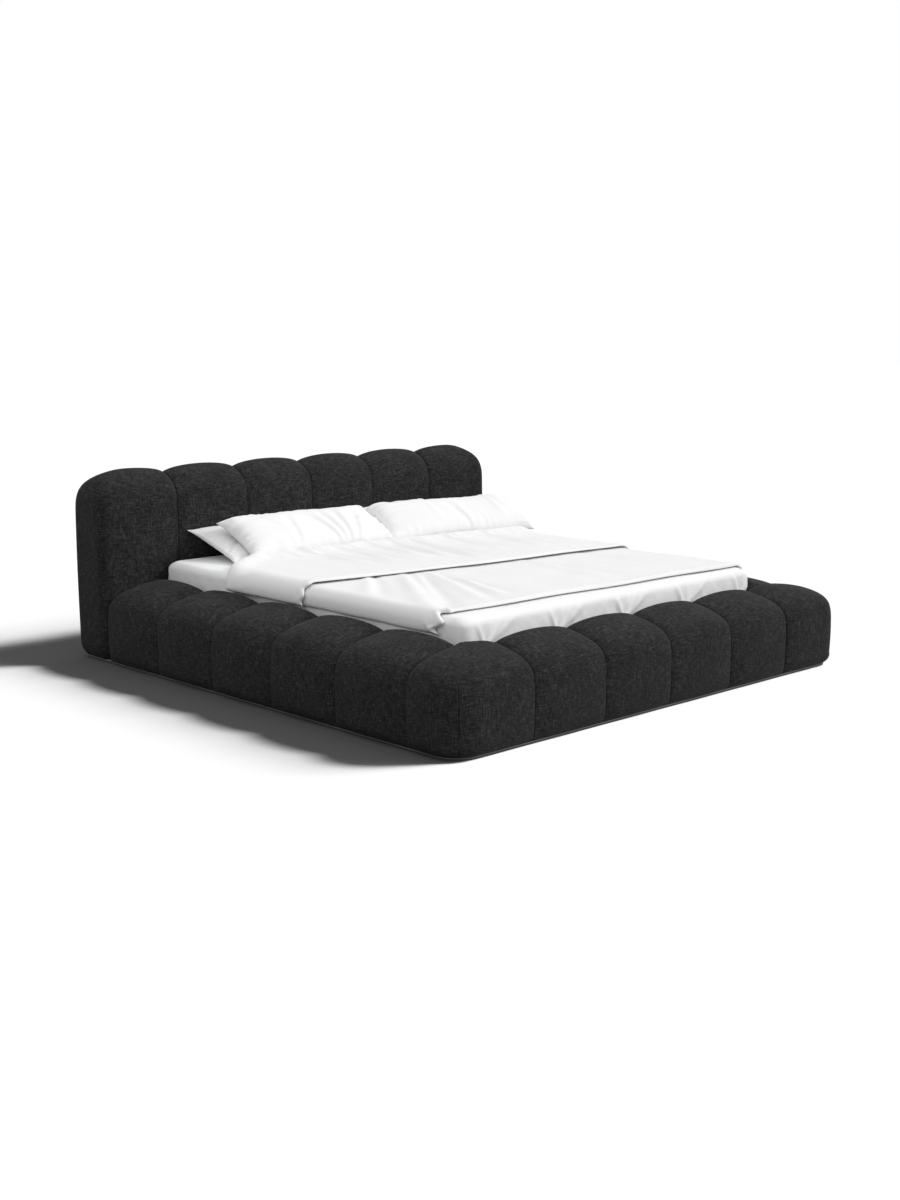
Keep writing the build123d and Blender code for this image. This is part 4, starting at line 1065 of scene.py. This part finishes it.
def duvet_wrinkles(x, y, w, run):
    """The duvet's creases, its undulation, and the crumple at its left foot corner."""
    rest = swell(x, y, 0.006, (4, 3), (9, 9), 31) + swell(x, y, 0.003, (11, 9), (0, 20), 32)
    corner = bell((w - 0.06) / 0.07, (y - duvet_foot(x) - 0.02) / 0.05)
    crumple = 0.014 * corner * folds(w, y, 62, 0.1, 0.035, 15, 1.5)
    return DUVET_GAIN * cloth_creases(x, y, DUVET_CREASES) * smooth_step(w, *SIDE_FLAT) + rest + crumple


def fold_wrinkles(x, y, w, run):
    """The fold's creases, its undulation, its soft roll at the head end and its crumples."""
    rest = swell(x, y, 0.005, (5, 4), (3, 9), 33) + swell(x, y, 0.003, (12, 9), (0, 20), 34)
    roll = 0.016 * bell((run - 0.05) / 0.06)
    small = 0.005 * folds(x, y, 97, 0.16, 0.045, 35, 1.5) * bell(run / 0.2)
    corner = bell(w / 0.03, (run - 0.03) / 0.05)
    crumple = 0.01 * corner * folds(w, y, 40, 0.08, 0.03, 16, 1.5)
    lines = FOLD_GAIN * cloth_creases(x, y, FOLD_CREASES) * smooth_step(w, *SIDE_FLAT)
    return lines + rest + roll + small + crumple


print("wrinkles of the duvet and of its fold are set")

# %% The duvet and its fold
duvet = duvet_layer(
    "duvet_cover", 0.0025, 0.017, 0.37, (duvet_head, duvet_foot), (hem_sway, crumpled_end), duvet_wrinkles
)
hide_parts("duvet")
fold = duvet_layer("duvet_fold", 0.0235, 0.014, 0.376, (fold_head, fold_foot), (hem_sway, wavy_end), fold_wrinkles)
print("duvet", [round(v, 3) for v in duvet.dimensions], "fold", [round(v, 3) for v in fold.dimensions])

# %% [markdown]
# The four pillows lie in two pairs, the front one of each on the back one. A pillow
# is two sheets of cotton sewn along a seam, crowned in the middle, drawn in between
# its corners and puckered along the seam. The back ones have a flat border outside
# their seam. A cloth simulation gives such puckers only on a very fine mesh, so here
# they are short ridges from a formula, and the longer folds follow the photograph.
# The two sheets meet in a strip only 3 mm wide. Unlike the duvet's rim, the faces of
# this strip are turned inwards.


# %% Puckers along a seam
def puckers(along, inward, spacing, reach, seed):
    """Short ridges across a seam: noise along it, fading inward as exp(-(d / r)^2)."""
    lane = value_noise(along / spacing + 7, np.full_like(along, seed % 50 + 0.5), seed)
    fine = value_noise(along / (0.45 * spacing) + 3, np.full_like(along, seed % 40 + 0.5), seed + 5)
    depth = reach * (0.35 + value_noise(along / (1.7 * spacing) + 3, np.full_like(along, 9.5), seed + 1))
    ridge = 1.4 * (1 - np.abs(2 * lane - 1)) + 0.5 * (1 - np.abs(2 * fine - 1)) - 0.95
    return ridge * np.exp(-((inward / depth) ** 2))


def pillow_folds(x, y, lines):
    """The longer folds of a pillow, in its own axes."""
    total = np.zeros_like(x)
    for start, end, width, height in lines:
        total += crease(x, y, start, end, width, height, (-0.1, 0.15), (0.6, 1.1))
    return total


print("a pucker on its seam:", puckers(np.array([0.1]), np.array([0.0]), 0.024, 0.12, 51).round(3))

# %% Shape of a pillow
PILLOW_GRID = (200, 150)
END_PUCKERS, SIDE_PUCKERS = (0.023, 0.024, 0.12), (0.006, 0.042, 0.07)
BORDER_WIDE, BORDER_GROOVE = 0.024, 0.003


def pillow_points(width, depth, over, under, lines, seed, bordered):
    """z = +-T sqrt(1 - |u|^5.2) sqrt(1 - |v|^2.8) with puckers; |u|^3.4 where it has a border."""
    u = np.sin(np.linspace(-pi / 2, pi / 2, PILLOW_GRID[0]))[:, None] + np.zeros((1, PILLOW_GRID[1]))
    v = np.sin(np.linspace(-pi / 2, pi / 2, PILLOW_GRID[1]))[None, :] + np.zeros((PILLOW_GRID[0], 1))
    ear = 1 + 0.02 * np.abs(u * v) ** 6
    x = width / 2 * u * (1 - 0.03 * (1 - v**2) * np.abs(u) ** 3) * ear
    y = depth / 2 * v * (1 - 0.05 * (1 - u**2) * np.abs(v) ** 3) * ear
    crown = np.sqrt(1 - np.abs(u) ** (5.2 - 1.8 * bordered)) * np.sqrt(1 - np.abs(v) ** 2.8)
    free = np.sqrt(1 - np.abs(u) ** 8) * np.sqrt(1 - np.abs(v) ** 8)
    from_end, from_side = width / 2 - np.abs(x), depth / 2 - np.abs(y)
    gathers = END_PUCKERS[0] * puckers(y + 3 * np.sign(x), from_end, *END_PUCKERS[1:], seed)
    gathers = gathers + SIDE_PUCKERS[0] * puckers(x + 5 * np.sign(y), from_side, *SIDE_PUCKERS[1:], seed + 2)
    groove = np.exp(-(((np.minimum(from_end, from_side) - BORDER_WIDE) / 0.004) ** 2))
    gathers = gathers * (1 - 0.7 * bordered) - BORDER_GROOVE * bordered * groove
    lumps = swell(x, y, 0.012, (6, 6), (9, 9), seed + 4)
    upper = over * crown + (gathers + lumps + pillow_folds(x, y, lines)) * free
    lower = -under * crown + 0.4 * (gathers + lumps) * free
    upper, lower = np.maximum(upper, 0.0015), np.minimum(lower, -0.0015)
    return np.stack([x, y, upper], -1), np.stack([x, y, lower], -1)


def turned(points, turn, tilt, centre):
    """Tilts points about their width, turns them in plan and moves them."""
    t, a = radians(tilt), radians(turn)
    rx = np.array([[1, 0, 0], [0, cos(t), -sin(t)], [0, sin(t), cos(t)]])
    rz = np.array([[cos(a), -sin(a), 0], [sin(a), cos(a), 0], [0, 0, 1]])
    return points @ (rz @ rx).T + np.array(centre)


print("a pillow has", 2 * PILLOW_GRID[0] * PILLOW_GRID[1], "points")

# %% Places and folds of the pillows
FRONT_LEFT_FOLDS = [
    ((0.10, -0.19), (0.00, 0.10), 0.02, 0.006),
    ((0.12, -0.19), (0.09, 0.12), 0.018, 0.006),
    ((0.14, -0.19), (0.19, 0.12), 0.02, 0.006),
    ((0.17, -0.19), (0.30, 0.06), 0.02, 0.005),
    ((-0.16, -0.19), (-0.10, 0.10), 0.022, 0.004),
    ((-0.28, 0.15), (-0.14, -0.05), 0.02, 0.004),
]
FRONT_RIGHT_FOLDS = [
    ((0.26, 0.16), (0.30, -0.12), 0.022, 0.005),
    ((0.05, -0.17), (0.02, 0.10), 0.022, 0.004),
    ((-0.12, 0.16), (-0.08, -0.08), 0.025, 0.004),
]
BACK_FOLDS = [((-0.42, -0.10), (-0.25, -0.02), 0.02, 0.005), ((-0.42, 0.06), (-0.25, 0.02), 0.02, 0.004)]
BACK_SIZE, BACK_RISE, BACK_TILT = (0.88, 0.374), (0.045, 0.05), 18
FRONT_SIZE, FRONT_RISE, FRONT_TILT = (0.86, 0.31), (0.07, 0.035), 26
PILLOWS = [
    ("back_left", (-0.307, 0.846, 0.512), 1, BACK_TILT, BACK_SIZE, BACK_RISE, BACK_FOLDS, 41, 1),
    ("front_left", (-0.25, 0.742, 0.541), 0, FRONT_TILT, FRONT_SIZE, FRONT_RISE, FRONT_LEFT_FOLDS, 51, 0),
    ("back_right", (0.607, 0.776, 0.512), -8, BACK_TILT, BACK_SIZE, BACK_RISE, BACK_FOLDS, 61, 1),
    ("front_right", (0.597, 0.66, 0.541), -10, FRONT_TILT, FRONT_SIZE, FRONT_RISE, FRONT_RIGHT_FOLDS, 71, 0),
]
print("pillows", len(PILLOWS))

# %% The four pillows
for spot, centre, turn, tilt, size, rise, lines, seed, bordered in PILLOWS:
    points, faces = joined(*pillow_points(*size, *rise, lines, seed, bordered), rim_outward=False)
    points = turned(points, turn, tilt, centre)
    pillow = mesh_piece(f"{spot}_cushion", points, faces)
    pillow.data.materials.append(linen)
    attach(pillow, "platform")
    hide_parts(f"{spot}_pillow")
    print(pillow.name, [round(float(v), 3) for v in (*points.min(0), *points.max(0))])

# %% [markdown]
# The parts inside the bed keep their CAD shapes, because a board or a tube needs no
# better one. When the platform is up they are in full view, so each finish has the
# small detail of the real one. Plywood is birch veneer with long grain and fine
# pores, so noise is drawn out along the board. The lowest edge of the boards all
# round is painted by height: near black below 8 mm, a painted shadow of the gap
# under the bed, and a pale grey line above that.

# %% Plywood and beech
BIRCH_DARK, BIRCH_LIGHT = (0.42, 0.29, 0.16), (0.66, 0.5, 0.31)
BEECH_DARK, BEECH_LIGHT = (0.5, 0.31, 0.16), (0.72, 0.52, 0.31)
STRIP_TOP = 0.0102
# Tones of the lowest boards by height in centimetres: painted shadow of the gap under the bed up to 8 mm, then a
# pale grey line.
BASE_SHADE_TONES = [(0.0, 0.012), (0.8, 0.012), (0.84, 0.16), (1.0, 0.16)]


def wood_material(name, dark, light, grain, roughness, strip=False):
    """Grain from noise stretched along one axis, with pores as finer noise."""
    made, shader = material(name, light, roughness)
    place = object_place(made)
    broad = noise(made, stretched(made, place, grain), 1, 3, 0.6)
    pores = noise(made, stretched(made, place, tuple(7 * g for g in grain)), 1, 2, 0.5)
    mixed = weighted(made, [(broad, 0.7), (pores, 0.3)])
    colour = ramp(made, mixed, [(0.35, dark), (0.65, light)])
    # Below STRIP_TOP the colour is painted by height: near black as painted shadow of the gap under the bed, and a
    # pale grey line above it.
    if strip:
        height = node(made, "ShaderNodeSeparateXYZ", {"Vector": place}).outputs["Z"]
        base_shade_and_line = ramp(made, maths(made, "MULTIPLY", height, 100), BASE_SHADE_TONES)
        above = maths(made, "GREATER_THAN", height, STRIP_TOP)
        colour = node(made, "ShaderNodeMix", {0: above, 6: base_shade_and_line, 7: colour}, data_type="RGBA").outputs[2]
    drives(made, colour, shader, "Base Color")
    bump(made, shader, mixed, 0.3, 0.0006)
    return made


woods = {
    "board_x": wood_material("birch_plywood_across", BIRCH_DARK, BIRCH_LIGHT, (3, 45, 45), 0.6, strip=True),
    "board_y": wood_material("birch_plywood_along", BIRCH_DARK, BIRCH_LIGHT, (45, 3, 45), 0.6, strip=True),
    "slat_wood": wood_material("lacquered_beech", BEECH_DARK, BEECH_LIGHT, (5, 90, 90), 0.35),
}
print("woods", [made.name for made in woods.values()])

# %% [markdown]
# Powder coat has a pebbled skin, moulded plastic a fine grain, gloss paint a clear
# coat, zinc a dull shine, and the springs' chrome rods are nearly mirrors. All of
# them are one tone that changes a little and a fine bump, so one function makes them
# and only its numbers differ. The lift strap is ribbed webbing: ribs across it and
# threads along it, from two waves that are multiplied.


# %% Paint, plastic, metal and webbing
def coated_material(name, colour, roughness, pebble, depth, **sockets):
    """Paint, plastic or metal: a small change of tone and a fine pebbled skin."""
    made, shader = material(name, colour, roughness, **sockets)
    place = object_place(made)
    low, high = tuple(c * 0.85 for c in colour), tuple(min(c * 1.15, 1) for c in colour)
    drives(made, ramp(made, noise(made, place, 14, 3, 0.6), [(0.3, low), (0.7, high)]), shader, "Base Color")
    bump(made, shader, noise(made, place, pebble, 2, 0.5), 0.35, depth)
    return made


def strap_material(rib=0.0026, thread=0.0018):
    """Ribbed webbing: sin along the strap's width times sin up its length."""
    made, shader = material("black_webbing", (0.02, 0.02, 0.02), 0.85)
    split = node(made, "ShaderNodeSeparateXYZ", {"Vector": object_place(made)})
    ribs = maths(made, "SINE", maths(made, "MULTIPLY", split.outputs["X"], 2 * pi / rib))
    rows = maths(made, "SINE", maths(made, "MULTIPLY", split.outputs["Z"], 2 * pi / thread))
    height = maths(made, "MULTIPLY", ribs, rows)
    drives(made, ramp(made, height, [(0.0, 0.012), (1.0, 0.04)]), shader, "Base Color")
    bump(made, shader, height, 0.7, 0.0006)
    return made


coats = {
    "floor_panel": coated_material("grey_foil_board", (0.075, 0.076, 0.08), 0.5, 1400, 0.0002),
    "tube_paint": coated_material("black_powder_coat", (0.022, 0.022, 0.023), 0.55, 1100, 0.0004),
    "bracket_paint": coated_material("satin_powder_coat", (0.035, 0.035, 0.037), 0.42, 1100, 0.0004),
    "holder_plastic": coated_material("black_plastic", (0.025, 0.025, 0.025), 0.5, 1800, 0.0002),
    "webbing": strap_material(),
    "cylinder_paint": coated_material("gloss_black", (0.015, 0.015, 0.015), 0.16, 500, 0.0001, Coat_Weight=0.5),
    "rod_chrome": coated_material("hard_chrome", (0.72, 0.72, 0.74), 0.09, 2500, 0.00005, Metallic=1.0),
    "bolt_zinc": coated_material("zinc_plate", (0.55, 0.56, 0.56), 0.33, 1600, 0.0002, Metallic=1.0),
}
print("coats", [made.name for made in coats.values()])

# %% [markdown]
# The record names a material slot for every CAD node, so the finishes can be given
# out by those names and no node is forgotten. Only the boards need a second look:
# the grain of the rails' boards runs along the bed and that of the others across it.

# %% Finish the inner parts
finishes, finished = {**woods, **coats}, {}
for part in frame["record"]["subparts"]:
    kind = part["material_slot"]
    if kind == "board":
        kind = "board_y" if "rail" in part["node"] else "board_x"
    if kind in finishes:
        slots = nodes[part["node"]].data.materials
        slots.clear()
        slots.append(finishes[kind])
        finished[kind] = finished.get(kind, 0) + 1
print("finished nodes", finished)

# %% [markdown]
# The studio. The photograph shows a white ground that throws no light up at the bed,
# and a deep soft shadow on its left. A floor that is lit until it looks white would
# light the bed from below, so its tone depends on the kind of ray. The camera, and
# metal and glass that mirror it, see one tone. The rays that carry its light on to
# the bed see a fifth of it. The shadow stays, because only the tone changes.

# %% Ground
FLOOR_HALF = 40
FLOOR_TONE, FLOOR_BOUNCE = 0.1, 0.02
floor_corners = [(x * FLOOR_HALF, y * FLOOR_HALF, 0) for x, y in ((-1, -1), (1, -1), (1, 1), (-1, 1))]
floor = mesh_piece("studio_floor", floor_corners, [(0, 1, 2, 3)])
floor_material, floor_shader = material("studio_white", (FLOOR_TONE,) * 3, 1.0)
floor_shader.inputs["Specular IOR Level"].default_value = 0
floor.data.materials.append(floor_material)
floor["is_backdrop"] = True


def seen_by_camera(made):
    """1 for rays that show the background to the camera, on metal and through glass."""
    path = node(made, "ShaderNodeLightPath")
    seen = maths(made, "MAXIMUM", path.outputs["Is Camera Ray"], path.outputs["Is Glossy Ray"])
    return maths(made, "MAXIMUM", seen, path.outputs["Is Transmission Ray"])


def by_ray(made, hidden, shown):
    """One value for rays that carry light and another for rays that are seen."""
    values = {"Value": seen_by_camera(made), "To Min": hidden, "To Max": shown}
    return node(made, "ShaderNodeMapRange", values).outputs[0]


drives(floor_material, by_ray(floor_material, FLOOR_BOUNCE, FLOOR_TONE), floor_shader, "Base Color")
print("floor is", FLOOR_TONE, "to the camera and", FLOOR_BOUNCE, "to light")

# %% [markdown]
# The sky is the soft light of a studio tent. An even white dome would fill the sides
# of the bed as much as its top. So its strength rises with height, which keeps the
# tops pale and lets the sides fall off as the photograph's do. The camera sees it as
# plain white.

# %% Sky
SKY_LOW, SKY_HIGH, SKY_SEEN = 0.35, 1.0, 1.0
world = bpy.data.worlds.new("studio_sky")
bpy.context.scene.world = world
world.use_nodes = True
sky = world.node_tree.nodes["Background"]
sky.inputs["Color"].default_value = (1, 1, 1, 1)
way = node(world, "ShaderNodeTexCoord").outputs["Generated"]
height = node(world, "ShaderNodeSeparateXYZ", {"Vector": way}).outputs["Z"]
dome = node(world, "ShaderNodeMapRange", {"Value": height, "To Min": SKY_LOW, "To Max": SKY_HIGH}).outputs[0]
drives(world, by_ray(world, dome, SKY_SEEN), sky, "Strength")
bpy.context.scene.view_settings.view_transform = "Standard"
print("sky from", SKY_LOW, "to", SKY_HIGH)

# %% [markdown]
# Four suns light the scene. A sun's angle sets how soft its shadows are. The window
# light comes from the right of the camera and draws the brows and the creases, and a
# weak fill comes from the left. The other two light the floor alone, by light
# linking: together they bring it up to white, and each leaves its own soft shadow of
# the bed on the left, a nearer and a longer one, as in the photograph.

# %% Suns
FLOOR_WHITE = 1.03
floor_only = bpy.data.collections.new("floor_only")
floor_only.objects.link(floor)


def sun_light(name, toward, softness, strength, only=None):
    """Sunlight from a direction given by a vector towards the light."""
    data = bpy.data.lights.new(name, "SUN")
    data.energy, data.angle = strength, radians(softness)
    light = bpy.data.objects.new(name, data)
    bpy.context.scene.collection.objects.link(light)
    aim = -np.array(toward, float)
    tilt, turn = np.arctan2(np.hypot(aim[0], aim[1]), -aim[2]), np.arctan2(aim[1], aim[0]) - pi / 2
    light.rotation_euler = (float(tilt), 0, float(turn))
    if only:
        light.light_linking.receiver_collection = only
    return light


sun_light("window_light", (0.60, -0.62, 0.50), 16, 1.6)
sun_light("fill_light", (-0.75, -0.35, 0.55), 40, 0.3)
missing = (FLOOR_WHITE - FLOOR_TONE * 1.05) * pi / FLOOR_TONE
sun_light("floor_light_near", (0.64, -0.42, 0.64), 10, 0.55 * missing / 0.64, floor_only)
sun_light("floor_light_far", (0.74, -0.42, 0.52), 22, 0.45 * missing / 0.52, floor_only)

# %% [markdown]
# Fabric may stand a little proud of the CAD model, but the dressed bed has to keep
# its size. Both boxes are printed here.

# %% Size of the dressed bed
size = {"cad": [list(corner) for corner in cad_box], "visual": [list(corner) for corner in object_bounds()]}
print(size)
